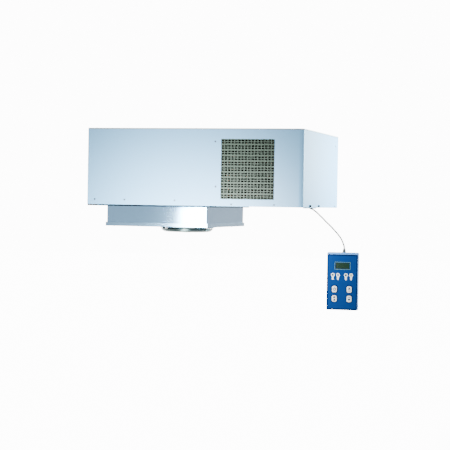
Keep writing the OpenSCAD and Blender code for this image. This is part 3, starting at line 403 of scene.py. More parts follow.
wire_plating = bright_metal("wire_plating", rgb(0.075, 0.115, 0.11), 0.22)
fan_metal = bright_metal("fan_metal", rgb(0.4, 0.42, 0.43), 0.36)
shaft_steel = bright_metal("shaft_steel", rgb(0.6, 0.61, 0.62), 0.2)
motor_paint = powder_coat("motor_paint", rgb(0.045, 0.048, 0.05), 0.5)
compressor_paint = powder_coat("compressor_paint", rgb(0.012, 0.012, 0.013), 0.38)
rubber = moulded("rubber", rgb(0.02, 0.02, 0.021), 0.75, 260, 0.15, Specular_IOR_Level=0.15)
board_green = circuit_lacquer("board_green", rgb(0.02, 0.13, 0.04))
cable_grey = cable_jacket("cable_grey", rgb(0.05, 0.064, 0.06))
strain_grey = moulded("strain_grey", rgb(0.08, 0.105, 0.105), 0.5)
shell_white = moulded("shell_white", rgb(0.08, 0.28, 0.68), 0.45, Specular_IOR_Level=0.2)
foil_blue = printed_foil("foil_blue", rgb(0.0001, 0.034, 0.165), rgb(0.0001, 0.007, 0.05),
                         overlay_low, overlay_high, 0.007)
frame_mint = moulded("frame_mint", rgb(0.1, 0.24, 0.22), 0.5, Specular_IOR_Level=0.2)
print_white = moulded("print_white", rgb(0.82, 0.88, 0.9), 0.4, 1200, 0.02)
print_dark = moulded("print_dark", rgb(0.02, 0.008, 0.008), 0.6, 1200, 0.02, Specular_IOR_Level=0.05)
print_teal = moulded("print_teal", rgb(0.006, 0.035, 0.04), 0.6, 1200, 0.02, Specular_IOR_Level=0.05)
# Near-black rims round the buttons: painted shadow of the gaps round the caps
rim_rubber = moulded("rim_rubber", rgb(0.004, 0.003, 0.008), 0.7, Specular_IOR_Level=0.05)
lamp_dark, lamp_lilac, lamp_straw = [
    moulded(name, colour, 0.3, 900, 0.01, Specular_IOR_Level=0.1)
    for name, colour in (("lamp_dark", rgb(0.006, 0.008, 0.008)),
                         ("lamp_lilac", rgb(0.16, 0.1, 0.26)),
                         ("lamp_straw", rgb(0.45, 0.42, 0.2)))]
button_white = moulded("button_white", rgb(0.8, 0.82, 0.84), 0.35)
screw_zinc = bright_metal("screw_zinc", rgb(0.11, 0.14, 0.17), 0.5)
stud_black = moulded("stud_black", rgb(0.02, 0.028, 0.03), 0.6, Specular_IOR_Level=0.1)


# Meshes

def mesh_of(bm, name):
    """Turns a bmesh into a mesh."""
    mesh = bpy.data.meshes.new(name)
    bm.to_mesh(mesh)
    bm.free()
    return mesh


def shade(mesh, angle):
    """Smooth shading, with edges sharper than the angle kept sharp."""
    mesh.shade_smooth()
    mesh.set_sharp_from_angle(angle=math.radians(angle))


def placed(name, data):
    """An object of the scene, at the origin."""
    item = bpy.data.objects.new(name, data)
    bpy.context.scene.collection.objects.link(item)
    return item


def add_piece(name, mesh, finishes, body=UNIT, replaces=(), angle=35, edge=0.0):
    """Makes a mesh a piece of its body, with its finishes and, where asked, rounded edges."""
    mesh.name = name
    if finishes:
        if mesh.materials:
            mesh.materials.clear()
        for finish in finishes if isinstance(finishes, (list, tuple)) else [finishes]:
            mesh.materials.append(finish)
    if angle:
        shade(mesh, angle)
    piece = placed(name, mesh)
    if edge:
        round_edges(piece, edge)
    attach(piece, body)
    if replaces:
        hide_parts(*([replaces] if isinstance(replaces, str) else replaces))
    return piece


def round_edges(piece, width):
    """Rounds a piece's sharp edges, and lets its large faces keep flat shading."""
    bevel = piece.modifiers.new("rounded_edges", "BEVEL")
    bevel.width = width
    bevel.segments = 2
    bevel.limit_method = "ANGLE"
    bevel.angle_limit = math.radians(35)
    bevel.use_clamp_overlap = True
    flat = piece.modifiers.new("flat_faces", "WEIGHTED_NORMAL")
    flat.keep_sharp = True


def dressed(node, finish, edge, body=UNIT):
    """A copy of a CAD node with its triangles merged and its edges rounded."""
    bm = bmesh.new()
    bm.from_mesh(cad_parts[node].data)
    bmesh.ops.remove_doubles(bm, verts=bm.verts, dist=2e-6)
    bmesh.ops.dissolve_limit(bm, angle_limit=math.radians(0.5), verts=bm.verts, edges=bm.edges)
    add_piece(node + "_dressed", mesh_of(bm, node), finish, body, node, edge=edge)


def kept(node, finish):
    """A CAD node that stays as it is, with a better material."""
    mesh_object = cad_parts[node]
    if not mesh_object.material_slots:
        mesh_object.data.materials.append(finish)
    for place in mesh_object.material_slots:
        place.material = finish


def joined(name, meshes):
    """Several meshes as one; each keeps its material indices."""
    bm = bmesh.new()
    for mesh in meshes:
        bm.from_mesh(mesh)
    return mesh_of(bm, name)


def inked(mesh, index):
    """Gives all faces of a mesh one material index."""
    for face in mesh.polygons:
        face.material_index = index
    return mesh


def moved(mesh, matrix):
    mesh.transform(matrix)
    return mesh


def shift(x=0.0, y=0.0, z=0.0):
    return Matrix.Translation((x, y, z))


def turned(degrees, axis):
    return Matrix.Rotation(math.radians(degrees), 4, axis)


def measured(node):
    """A CAD node's lowest and highest corner, its middle and its size."""
    low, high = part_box(node)
    return low, high, (low + high) / 2, high - low


def stood(node, axis="Z"):
    """Where a CAD node's foot is, with its axis as Z, then its radius and its height."""
    low, _, middle, size = measured(node)
    if axis == "Y":
        return shift(middle.x, low.y, middle.z) @ turned(-90, "X"), size.x / 2, size.y
    return shift(middle.x, middle.y, low.z), size.x / 2, size.z


def repeated(points, count, start, pitch):
    """A stretch of a profile, (radius, height) points, repeated at a pitch."""
    return [(radius, start + k * pitch + rise) for k in range(count) for radius, rise in points]


def lathe(name, profile, steps=48):
    """Turns a profile of (radius, height) points about Z into a closed shape."""
    bm = bmesh.new()
    rings = []
    for radius, height in profile:
        if radius < 1e-7:
            rings.append([bm.verts.new((0, 0, height))])
        else:
            rings.append([bm.verts.new((radius * math.cos(k * FULL_TURN / steps),
                                        radius * math.sin(k * FULL_TURN / steps), height))
                          for k in range(steps)])
    for below, above in zip(rings, rings[1:]):
        for k in range(steps):
            ring = [below[k % len(below)], below[(k + 1) % len(below)],
                    above[(k + 1) % len(above)], above[k % len(above)]]
            corners = list(dict.fromkeys(ring))
            if len(corners) > 2:
                bm.faces.new(corners)
    bmesh.ops.holes_fill(bm, edges=bm.edges)
    bmesh.ops.recalc_face_normals(bm, faces=bm.faces)
    return mesh_of(bm, name)


def arc(centre, radius, start, end, steps=6):
    """Points of an arc, angles in degrees."""
    turns = [math.radians(start + (end - start) * k / steps) for k in range(steps + 1)]
    return [(centre[0] + radius * math.cos(t), centre[1] + radius * math.sin(t)) for t in turns]


def rounded_outline(width, height, radius, steps=6):
    """Corners of a rounded rectangle about its middle."""
    x, y = width / 2 - radius, height / 2 - radius
    corners = [((x, y), 0), ((-x, y), 90), ((-x, -y), 180), ((x, -y), 270)]
    return [point for middle, start in corners
            for point in arc(middle, radius, start, start + 90, steps)]


def circle_outline(radius, steps=24):
    return arc((0, 0), radius, 0, 360 - 360 / steps, steps - 1)


def evaluated(item):
    """The plain mesh that an object's curves or modifiers come to."""
    bpy.context.view_layer.update()
    graph = bpy.context.evaluated_depsgraph_get()
    return bpy.data.meshes.new_from_object(item.evaluated_get(graph))


def flat_shape(name, outlines, thickness, edge=0.0):
    """A plate in the XY plane, cut from outlines of which the inner ones are holes."""
    curve = bpy.data.curves.new(name, "CURVE")
    curve.dimensions = "2D"
    curve.fill_mode = "BOTH"
    curve.extrude = thickness / 2 - edge
    curve.bevel_depth = edge
    curve.bevel_resolution = 2
    curve.offset = -edge
    for outline in outlines:
        spline = curve.splines.new("POLY")
        spline.points.add(len(outline) - 1)
        for point, (x, y) in zip(spline.points, outline):
            point.co = (x, y, 0, 1)
        spline.use_cyclic_u = True
    holder = placed(name, curve)
    mesh = evaluated(holder)
    bpy.data.objects.remove(holder)
    bpy.data.curves.remove(curve)
    bm = bmesh.new()
    bm.from_mesh(mesh)
    bmesh.ops.remove_doubles(bm, verts=bm.verts, dist=1e-6)
    bmesh.ops.recalc_face_normals(bm, faces=bm.faces)
    bm.to_mesh(mesh)
    bm.free()
    return moved(mesh, shift(z=thickness / 2))


def facing_front(x, y, z):
    """Puts a shape drawn in XY, and raised along Z, on a face that looks to the front."""
    return shift(x, y, z) @ turned(90, "X")


def smooth_path(points, steps=6):
    """A smooth line through points, with a few steps between each two."""
    ends = [2 * points[0] - points[1]] + points + [2 * points[-1] - points[-2]]
    path = []
    for a, b, c, d in zip(ends, ends[1:], ends[2:], ends[3:]):
        for k in range(steps):
            t = k / steps
            path.append(0.5 * (2 * b + (c - a) * t + (2 * a - 5 * b + 4 * c - d) * t * t
                               + (3 * b - a - 3 * c + d) * t * t * t))
    return path + [points[-1]]


def tube(name, path, radius, sides=16):
    """A round tube along a path, closed at both ends, with a UV map of turns and metres."""
    bm = bmesh.new()
    uv = bm.loops.layers.uv.new("UVMap")
    travelled = [0.0]
    for a, b in zip(path, path[1:]):
        travelled.append(travelled[-1] + (b - a).length)
    rings = []
    for k, point in enumerate(path):
        ahead = (path[min(k + 1, len(path) - 1)] - path[max(k - 1, 0)]).normalized()
        side = Vector((0, 1, 0)) if abs(ahead.y) < 0.9 else Vector((1, 0, 0))
        up = ahead.cross(side).normalized()
        side = up.cross(ahead)
        rings.append([bm.verts.new(point + radius * (math.cos(t) * side + math.sin(t) * up))
                      for t in (j * FULL_TURN / sides for j in range(sides))])
    for k, (near, far) in enumerate(zip(rings, rings[1:])):
        for j in range(sides):
            face = bm.faces.new((near[j], near[(j + 1) % sides], far[(j + 1) % sides], far[j]))
            turns = (j / sides, (j + 1) / sides, (j + 1) / sides, j / sides)
            lengths = (travelled[k], travelled[k], travelled[k + 1], travelled[k + 1])
            for loop, turn, length in zip(face.loops, turns, lengths):
                loop[uv].uv = (turn, length)
    bm.faces.new(list(reversed(rings[0])))
    bm.faces.new(rings[-1])
    bmesh.ops.recalc_face_normals(bm, faces=bm.faces)
    return mesh_of(bm, name)


# Handset cable, the only cord: the route of the part's source, from the casing's right side

casing_low, casing_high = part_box("casing_wrap")
cable_low, cable_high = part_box("remote_cable")
cable_y = (cable_low.y + cable_high.y) / 2
cable_radius = (cable_high.y - cable_low.y) / 2
CABLE_POINTS = [
    (0.0025, 0.001), (0.0115, -0.005), (0.0235, -0.014), (0.0365, -0.026), (0.0495, -0.038),
    (0.0625, -0.051), (0.0765, -0.064), (0.0905, -0.077), (0.1045, -0.092), (0.1175, -0.106),
    (0.1285, -0.120), (0.1365, -0.134), (0.1425, -0.148), (0.1455, -0.158), (0.1465, -0.167)
]


def make_cable():
    """The thin grey cable that hangs from the outlet and ends in the handset."""
    points = [Vector((casing_high.x + past, cable_y, height)) for past, height in CABLE_POINTS]
    path = smooth_path(points)
    length = sum((b - a).length for a, b in zip(path, path[1:]))
    cable = add_piece("handset_cable", tube("handset_cable", path, cable_radius), cable_grey,
                      replaces="remote_cable", angle=50)


make_cable()


# Geometry Nodes: what repeats, or follows a path

WHOLE = "NodeSocketInt"
NUMBER = "NodeSocketFloat"
FINISH = "NodeSocketMaterial"
OBJECT = "NodeSocketObject"


class Recipe(Tree):
    """A Geometry Nodes tree with named inputs, grown into a plain mesh when it is used."""

    def __init__(self, name, inputs):
        super().__init__(bpy.data.node_groups.new(name, "GeometryNodeTree"))
        kind = "NodeSocketGeometry"
        self.tree.interface.new_socket("Geometry", in_out="OUTPUT", socket_type=kind)
        self.tree.interface.new_socket("Geometry", in_out="INPUT", socket_type=kind)
        self.names = {}
        for label, kind in {**inputs, "Finish": FINISH}.items():
            socket = self.tree.interface.new_socket(label, in_out="INPUT", socket_type=kind)
            self.names[label] = socket.identifier
        self.entry = self.tree.nodes.new("NodeGroupInput")

    def __getitem__(self, label):
        return Value(self, self.entry.outputs[label])

    def shape(self, kind, settings=None, inputs=None, output=0):
        return self.node("GeometryNode" + kind, settings, inputs, output)

    def join(self, *shapes):
        joiner = self.tree.nodes.new("GeometryNodeJoinGeometry")
        for each in shapes:
            self.tree.links.new(each.socket, joiner.inputs[0])
        return Value(self, joiner.outputs[0])

    def copies(self, points, instance, **inputs):
        return self.shape("InstanceOnPoints", inputs={
            "Points": points, "Instance": instance, **inputs})

    def real(self, instances):
        return self.shape("RealizeInstances", inputs={0: instances})

    def pushed(self, shape, x=0.0, y=0.0, z=0.0):
        """A shape whose points move by sums of their own."""
        return self.shape("SetPosition", inputs={"Geometry": shape, "Offset": self.vector(x, y, z)})

    def place_parts(self):
        return self.parts(self.shape("InputPosition"))

    def row(self, count, pitch):
        """Points in a row along X, about the middle."""
        start = self.vector((1 - count) * pitch * 0.5)
        return self.shape("MeshLine", {"mode": "OFFSET"}, {
            "Count": count, "Start Location": start, "Offset": self.vector(pitch)})

    def end(self, geometry):
        """Every tree ends in Realize Instances and Set Material."""
        finished = self.shape("SetMaterial", inputs={
            0: self.real(geometry), "Material": self["Finish"]})
        leave = self.tree.nodes.new("NodeGroupOutput")
        self.tree.links.new(finished.socket, leave.inputs[0])

    def grow(self, name, values, host=None):
        """Runs the tree on a host mesh and returns the result as a plain mesh."""
        seedling = placed(name, host or bpy.data.meshes.new(name))
        growth = seedling.modifiers.new("growth", "NODES")
        growth.node_group = self.tree
        for label, value in values.items():
            growth[self.names[label]] = value
        mesh = evaluated(seedling)
        seedling.modifiers.remove(growth)
        bpy.data.objects.remove(seedling)
        return mesh


def perforated_recipe():
    """A sheet with columns of square holes, whose rows stand in pairs."""
    r = Recipe("perforated_sheet", {
        "Width": NUMBER, "Height": NUMBER, "Border": NUMBER, "Columns": WHOLE, "Pairs": WHOLE,
        "Hole width": NUMBER, "Thin bar": NUMBER, "Thick bar": NUMBER, "Hole corner": NUMBER,
        "Thickness": NUMBER})
    hole_height = (r["Height"] / r["Pairs"] - r["Thin bar"] - r["Thick bar"]) * 0.5
    cells = r.shape("MeshGrid", inputs={
        "Size X": r["Width"] - r["Width"] / r["Columns"],
        "Size Y": r["Height"] - r["Height"] / r["Pairs"],
        "Vertices X": r["Columns"], "Vertices Y": r["Pairs"]})
    step = (hole_height + r["Thin bar"]) * 0.5
    rows = [r.shape("Transform", inputs={"Geometry": cells, "Translation": r.vector(0, side * step)})
            for side in (-1, 1)]
    hole = r.shape("CurvePrimitiveQuadrilateral", {"mode": "RECTANGLE"}, {
        "Width": r["Hole width"], "Height": hole_height})
    hole = r.shape("FilletCurve", {"mode": "POLY"}, {
        "Curve": hole, "Count": 2, "Radius": r["Hole corner"]})
    holes = r.real(r.copies(r.join(*rows), hole))
    outline = r.shape("CurvePrimitiveQuadrilateral", {"mode": "RECTANGLE"}, {
        "Width": r["Width"] + r["Border"] * 2, "Height": r["Height"] + r["Border"] * 2})
    face = r.shape("FillCurve", inputs={"Curve": r.join(outline, holes)})
    wall = r.shape("ExtrudeMesh", inputs={
        "Mesh": face, "Offset Scale": r["Thickness"], "Individual": False})
    closed = r.join(wall, r.shape("FlipFaces", inputs={0: face}))
    r.end(r.shape("MergeByDistance", inputs={"Geometry": closed, "Distance": 1e-5}))
    return r


def fin_recipe():
    """A pack of thin rippled fins, stacked along X."""
    r = Recipe("fin_pack", {
        "Fins": WHOLE, "Pitch": NUMBER, "Thickness": NUMBER, "Depth": NUMBER, "Height": NUMBER,
        "Ripple": NUMBER, "Ripples": WHOLE})
    fin = r.shape("MeshCube", inputs={
        "Size": r.vector(r["Thickness"], r["Depth"], r["Height"]),
        "Vertices X": 2, "Vertices Y": 13, "Vertices Z": 2})
    _, depth, _ = r.place_parts()
    wave = (depth / r["Depth"] * r["Ripples"] * FULL_TURN).sine() * r["Ripple"]
    r.end(r.copies(r.row(r["Fins"], r["Pitch"]), r.pushed(fin, wave)))
    return r


def slat_recipe():
    """A row of curved slats, tilted the same way, along X."""
    r = Recipe("slat_row", {
        "Slats": WHOLE, "Pitch": NUMBER, "Thickness": NUMBER, "Length": NUMBER, "Chord": NUMBER,
        "Bow": NUMBER, "Tilt": NUMBER})
    slat = r.shape("MeshCube", inputs={
        "Size": r.vector(r["Thickness"], r["Length"], r["Chord"]),
        "Vertices X": 2, "Vertices Y": 2, "Vertices Z": 9})
    _, _, height = r.place_parts()
    bow = (1 - (height * 2 / r["Chord"]) ** 2.0) * r["Bow"]
    tilted = r.shape("Transform", inputs={
        "Geometry": r.pushed(slat, bow), "Rotation": r.vector(0, r["Tilt"])})
    r.end(r.copies(r.row(r["Slats"], r["Pitch"]), tilted))
    return r


def guard_recipe():
    """Wire rings along a spoke's own path, and the spokes themselves, round Z."""
    r = Recipe("wire_guard", {
        "Rings": WHOLE, "Spokes": WHOLE, "First spoke": NUMBER, "Wire": NUMBER,
        "Spoke depth": NUMBER})
    path = r.shape("MeshToCurve", inputs={0: r["Geometry"]})
    wire = r.shape("CurvePrimitiveCircle", inputs={"Resolution": 10, "Radius": r["Wire"]})
    stations = r.shape("CurveToPoints", {"mode": "COUNT"}, {"Curve": path, "Count": r["Rings"]})
    across, _, _ = r.place_parts()
    ring = r.shape("CurvePrimitiveCircle", inputs={"Resolution": 72, "Radius": 1.0})
    rings = r.copies(stations, ring, Scale=r.vector(across, across, 1.0))
    rings = r.shape("CurveToMesh", inputs={
        "Curve": r.real(r.pushed(rings, 0 - across)), "Profile Curve": wire})
    hub = r.shape("MeshLine", {"mode": "OFFSET"}, {"Count": r["Spokes"], "Offset": (0, 0, 0)})
    turn = r.shape("InputIndex") * FULL_TURN / r["Spokes"] + r["First spoke"]
    inner = r.shape("Transform", inputs={
        "Geometry": path, "Translation": r.vector(0, 0, r["Spoke depth"])})
    spokes = r.copies(hub, inner, Rotation=r.vector(0, 0, turn))
    spokes = r.shape("CurveToMesh", inputs={
        "Curve": r.real(spokes), "Profile Curve": wire, "Fill Caps": True})
    r.end(r.join(rings, spokes))
    return r


def screw_recipe():
    """A screw head on every point of the host, turned to the point's own axis."""
    r = Recipe("screw_set", {"Head": OBJECT, "Seed": WHOLE})
    head = r.shape("ObjectInfo", {"transform_space": "ORIGINAL"}, {"Object": r["Head"]}, "Geometry")
    axis = r.shape("InputNamedAttribute", {"data_type": "FLOAT_VECTOR"}, {"Name": "axis"})
    facing = r.node("FunctionNodeAlignRotationToVector", {"axis": "Z"}, {"Vector": axis})
    heads = r.copies(r["Geometry"], head, Rotation=facing)
    spin = r.node("FunctionNodeRandomValue", {"data_type": "FLOAT"}, {
        2: 0.0, 3: FULL_TURN, "Seed": r["Seed"]}, 1)
    r.end(r.shape("RotateInstances", inputs={
        "Instances": heads, "Rotation": r.vector(0, 0, spin), "Local Space": True}))
    return r


perforated = perforated_recipe()
fins = fin_recipe()
slats = slat_recipe()
guard = guard_recipe()
screws = screw_recipe()


# Casing

FOOT_X = 0.249
FOOT_Y = 0.290
FOOT_RADIUS = 0.011
FOOT_GAP = 0.0001
FOOT_SLEEVE = 0.0009
FOOT_HEIGHT = 0.0058
GRILLE_COLUMNS = 16
GRILLE_PAIRS = 11
GRILLE_BORDER = 0.012
GRILLE_HOLE = 0.0112
GRILLE_CORNER = 0.0012
THIN_BAR = 0.0026
THICK_BAR = 0.0067


def make_foot_sleeves():
    """Foam rings that seal the two ceiling fixings which stand outside the gasket."""
    plate_low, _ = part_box("base_plate")
    sleeves = []
    for side in (-1, 1):
        sleeve = flat_shape("sleeve", [circle_outline(FOOT_RADIUS + FOOT_SLEEVE, 32),
                                       circle_outline(FOOT_RADIUS + FOOT_GAP, 32)], FOOT_HEIGHT)
        sleeves.append(moved(sleeve, shift(FOOT_X, side * FOOT_Y, plate_low.z)))
    add_piece("foot_sleeves", joined("foot_sleeves", sleeves), gasket_foam)


def make_grille(name, node):
    """One perforated grille, where its CAD node is."""
    _, high, middle, size = measured(node)
    mesh = perforated.grow(name, {
        "Width": size.x - 2 * GRILLE_BORDER, "Height": size.z - 2 * GRILLE_BORDER,
        "Border": GRILLE_BORDER, "Columns": GRILLE_COLUMNS, "Pairs": GRILLE_PAIRS,
        "Hole width": GRILLE_HOLE, "Thin bar": THIN_BAR, "Thick bar": THICK_BAR,
        "Hole corner": GRILLE_CORNER, "Thickness": size.y, "Finish": grille_paint})
    moved(mesh, facing_front(middle.x, high.y, middle.z))
    add_piece(name, mesh, None, replaces=node, angle=0)


# Neck, tray, louvre and guard

NECK_SHEET = 0.001
NECK_CORNER = 0.003
NECK_EDGE = 0.0003
FAN_GAP = 0.0035
TRAY_PRESS = 0.0035
TRAY_PRESS_RISE = 0.0012
TRAY_PRESS_SINK = 0.0002


def make_neck():
    """The bright sheet, folded once round the neck and open at the top and the bottom."""
    low, high, _, size = measured("neck_skin")
    outlines = [rounded_outline(2 * (high.x - inset), 2 * (high.y - inset), NECK_CORNER - inset)
                for inset in (0, NECK_SHEET)]
    mesh = moved(flat_shape("neck_sheet", outlines, size.z), shift(z=low.z))
    add_piece("neck_sheet", mesh, neck_steel, replaces="neck_skin",
              edge=NECK_EDGE)


def make_fan_press():
    """The ring that is pressed into the tray round the fan's opening."""
    _, _, middle, size = measured("evap_fan_blades")
    tray_low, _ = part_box("bottom_tray")
    top = size.x / 2 + FAN_GAP + TRAY_PRESS
    bead = arc((top, 0), TRAY_PRESS, 180, 360, 8)
    profile = [(radius, height * TRAY_PRESS_RISE / TRAY_PRESS) for radius, height in bead]
    mesh = lathe("tray_press", profile + [(top, TRAY_PRESS_SINK)], 96)
    moved(mesh, shift(middle.x, middle.y, tray_low.z))
    add_piece("tray_press", mesh, tray_steel)


LOUVRE_FLANGE = 0.008
LOUVRE_PLATE = 0.0012
LOUVRE_COLLAR = 0.0015
LOUVRE_CORNER = 0.003
LOUVRE_OPENING_CORNER = 0.002
LOUVRE_EDGE = 0.0003
LOUVRE_SLATS = 6
LOUVRE_SLAT = 0.001
LOUVRE_CHORD = 0.0155
LOUVRE_BOW = 0.0016
LOUVRE_TILT = math.radians(35)
LOUVRE_SLAT_RISE = 0.0005


def make_louvre():
    """The cold air outlet: a moulded frame and its curved slats."""
    low, _, middle, size = measured("outlet_louvre")
    width, length = size.x - 2 * LOUVRE_FLANGE, size.y - 2 * LOUVRE_FLANGE
    opening = rounded_outline(width, length, LOUVRE_OPENING_CORNER)
    plate = rounded_outline(size.x, size.y, LOUVRE_CORNER)
    collar = rounded_outline(width + 2 * LOUVRE_COLLAR, length + 2 * LOUVRE_COLLAR, LOUVRE_CORNER)
    mesh = joined("louvre_frame", [
        flat_shape("louvre_plate", [plate, opening], LOUVRE_PLATE, LOUVRE_EDGE),
        flat_shape("louvre_collar", [collar, opening], size.z, LOUVRE_EDGE)])
    moved(mesh, shift(middle.x, middle.y, low.z))
    add_piece("louvre_frame", mesh, white_plastic, replaces="outlet_louvre")
    rows = slats.grow("louvre_slats", {
        "Slats": LOUVRE_SLATS, "Pitch": width / LOUVRE_SLATS, "Thickness": LOUVRE_SLAT,
        "Length": length, "Chord": LOUVRE_CHORD, "Bow": LOUVRE_BOW, "Tilt": LOUVRE_TILT,
        "Finish": white_plastic})
    moved(rows, shift(middle.x, middle.y, middle.z + LOUVRE_SLAT_RISE))
    add_piece("louvre_slats", rows, None, angle=40)


WIRE = 0.0019
GUARD_RADIUS = 0.121
GUARD_DROP = 0.026
GUARD_RINGS = 11
GUARD_RIM_RINGS = 5
GUARD_SPOKES = 4
GUARD_DISC = 0.022
GUARD_STEPS = 5
# A spoke's path from the rim inwards, in shares of the guard's radius and of its drop
GUARD_DOME = ((0.987, -0.26), (0.958, -0.52), (0.90, -0.76), (0.80, -0.91), (0.62, -0.94),
              (0.246, -0.94))
GUARD_BEND_PARTS = 3
# The middle plate: shares of its radius, and heights above the guard's drop
DISC_PROFILE = ((0, 0.0024), (0.98, 0.0024), (1, 0.0012), (0.97, -0.0008), (0.82, -0.0022),
                (0.62, -0.0018), (0.45, -0.0004), (0.3, -0.0012), (0, -0.0014))
GUARD_FOOT = (0.017, 0.013, 0.004)
GUARD_FOOT_HOLE = 0.0022
GUARD_FOOT_SHEET = 0.0014
GUARD_FOOT_EDGE = 0.0002
GUARD_FOOT_REACH = 0.0062
GUARD_FOOT_DROP = 0.0015
# A clip's path round the outer ring: distance past the guard's radius, and height
CLIP_PATH = ((-0.0035, -0.0075), (-0.0008, -0.0094), (0.0022, -0.0075), (0.0032, -0.0035),
             (0.006, -0.0012))
CLIP_WIRE = 0.0011


def bent_wires(name, points, rings, first_spoke):
    """Rings and spokes along a spoke's own path."""
    host = bpy.data.meshes.new(name)
    host.from_pydata(points, [(k, k + 1) for k in range(len(points) - 1)], [])
    return guard.grow(name, {
        "Rings": rings, "Spokes": GUARD_SPOKES, "First spoke": first_spoke, "Wire": WIRE,
        "Spoke depth": 2 * WIRE, "Finish": wire_plating}, host)


def make_guard():
    """The dome of wire under the evaporator's fan, closer rings on its bend, plate and feet."""
    _, _, middle, _ = measured("evap_fan_guard")
    tray_low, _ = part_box("bottom_tray")
    at_fan = shift(middle.x, middle.y, tray_low.z)
    points = smooth_path([Vector((across * GUARD_RADIUS, 0, rise * GUARD_DROP))
                          for across, rise in GUARD_DOME], GUARD_STEPS)
    bend = points[:GUARD_BEND_PARTS * GUARD_STEPS + 1]
    wires = [bent_wires("guard_dome", points, GUARD_RINGS, FULL_TURN / 8),
             bent_wires("guard_bend", bend, GUARD_RIM_RINGS, 0.0)]
    plate = lathe("guard_plate", [(share * GUARD_DISC, rise - GUARD_DROP)
                                  for share, rise in DISC_PROFILE])
    for name, mesh, angle, node in (
            ("guard_wires", joined("guard_wires", wires), 60, "evap_fan_guard"),
            ("guard_plate", plate, 50, ()), ("guard_feet", guard_feet(), 40, ())):
        add_piece(name, moved(mesh, at_fan), wire_plating, replaces=node,
                  angle=angle)


def guard_feet():
    """Flat feet, each with a hole and a clip round the outer ring."""
    feet = []
    for k in range(GUARD_SPOKES):
        foot = flat_shape("foot", [rounded_outline(*GUARD_FOOT), circle_outline(GUARD_FOOT_HOLE, 12)],
                          GUARD_FOOT_SHEET, GUARD_FOOT_EDGE)
        moved(foot, shift(GUARD_RADIUS + GUARD_FOOT_REACH, 0, -GUARD_FOOT_DROP))
        clip = [Vector((GUARD_RADIUS + past, 0, height)) for past, height in CLIP_PATH]
        strap = tube("clip", smooth_path(clip, 4), CLIP_WIRE, 8)
        turn = turned((k + 0.5) * 360 / GUARD_SPOKES, "Z")
        feet += [moved(foot, turn), moved(strap, turn)]
    return joined("guard_feet", feet)


# Fans

FAN_BLADES = 5
FAN_RADIUS = 0.0985
HUB_RADIUS = 0.032
HUB_WALL = 0.004
BORE = 0.0031
BLADE_THICKNESS = 0.0018
BLADE_ROOT = 0.94 * HUB_RADIUS
# Half of a blade's chord at its root, its gain to the tip, and how far the tip is rounded off
ROOT_HALF_CHORD = 0.021
CHORD_GAIN = 0.02
TIP_ROUNDING = 0.25
# Pitch at the root and its loss to the tip, in degrees; sweep in radians
ROOT_PITCH = 40
PITCH_LOSS = 17
ROOT_SWEEP = 0.1
TIP_SWEEP = 0.34
CAMBER = 0.0035
BEARING_SEAT = 0.016
MOTOR_RIBS = 9
FIRST_RIB = 0.011
RIB_PITCH = 0.0045
RIB_DEPTH = 0.0022


def blade_point(share, chord, height):
    """A point in a blade's middle surface: share runs out from the hub, chord from -1 to 1."""
    out = BLADE_ROOT + (FAN_RADIUS - BLADE_ROOT) * share
    half = (ROOT_HALF_CHORD + CHORD_GAIN * share) * (1 - TIP_ROUNDING * share ** 6)
    pitch = math.radians(ROOT_PITCH - PITCH_LOSS * share)
    sweep = ROOT_SWEEP + TIP_SWEEP * share * share
    along = chord * half
    turn = sweep + along * math.cos(pitch) / out
    rise = height / 2 + along * math.sin(pitch) + CAMBER * (1 - chord * chord)
    return out, turn, rise


def one_blade(name, height, spans=9, chords=13):
    """A twisted sickle blade that is thick in the middle of its chord."""
    bm = bmesh.new()
    sides = []
    for face in (-1, 1):
        grid = []
        for j in range(spans):
            row = []
            for k in range(chords):
                chord = -1 + 2 * k / (chords - 1)
                out, turn, rise = blade_point(j / (spans - 1), chord, height)
                rise += face * BLADE_THICKNESS * (0.25 + 0.75 * math.sqrt(1 - chord * chord)) / 2
                row.append(bm.verts.new((out * math.cos(turn), out * math.sin(turn), rise)))
            grid.append(row)
        sides.append(grid)
    for grid in sides:
        for near, far in zip(grid, grid[1:]):
            for k in range(chords - 1):
                bm.faces.new((near[k], near[k + 1], far[k + 1], far[k]))
    lower, upper = [grid[0] + [row[-1] for row in grid[1:]] + grid[-1][-2::-1]
                    + [row[0] for row in grid[-2:0:-1]] for grid in sides]
    for k in range(len(lower)):
        n = (k + 1) % len(lower)
        bm.faces.new((lower[k], lower[n], upper[n], upper[k]))
    bmesh.ops.recalc_face_normals(bm, faces=bm.faces)
    return mesh_of(bm, name)


def make_fan(body, axis):
    """One fan: blades and hub, shaft and motor."""
    at_fan, _, height = stood(body + "_blades", axis)
    blade = one_blade("blade", height)
    wheel = [moved(blade.copy(), turned(k * 360 / FAN_BLADES, "Z")) for k in range(FAN_BLADES)]
    bowl = HUB_RADIUS - HUB_WALL
    hub = lathe("hub", [
        (BORE, 0.0002), (HUB_RADIUS * 0.6, 0.0002), (bowl, 0.001), (HUB_RADIUS - 0.001, 0.003),
        (HUB_RADIUS, 0.006), (HUB_RADIUS, height - 0.002), (HUB_RADIUS - 0.0015, height - 0.0004),
        (bowl, height - 0.0004), (bowl, 0.008), (0.008, 0.008), (0.008, height - 0.004),
        (BORE, height - 0.004), (BORE, 0.0002)])
    mesh = moved(joined(body + "_wheel", wheel + [hub]), at_fan)
    add_piece(body + "_wheel", mesh, fan_metal, body, body + "_blades", angle=40)
    dressed(body + "_shaft", shaft_steel, 0.0004, body)
    make_motor(body, axis)


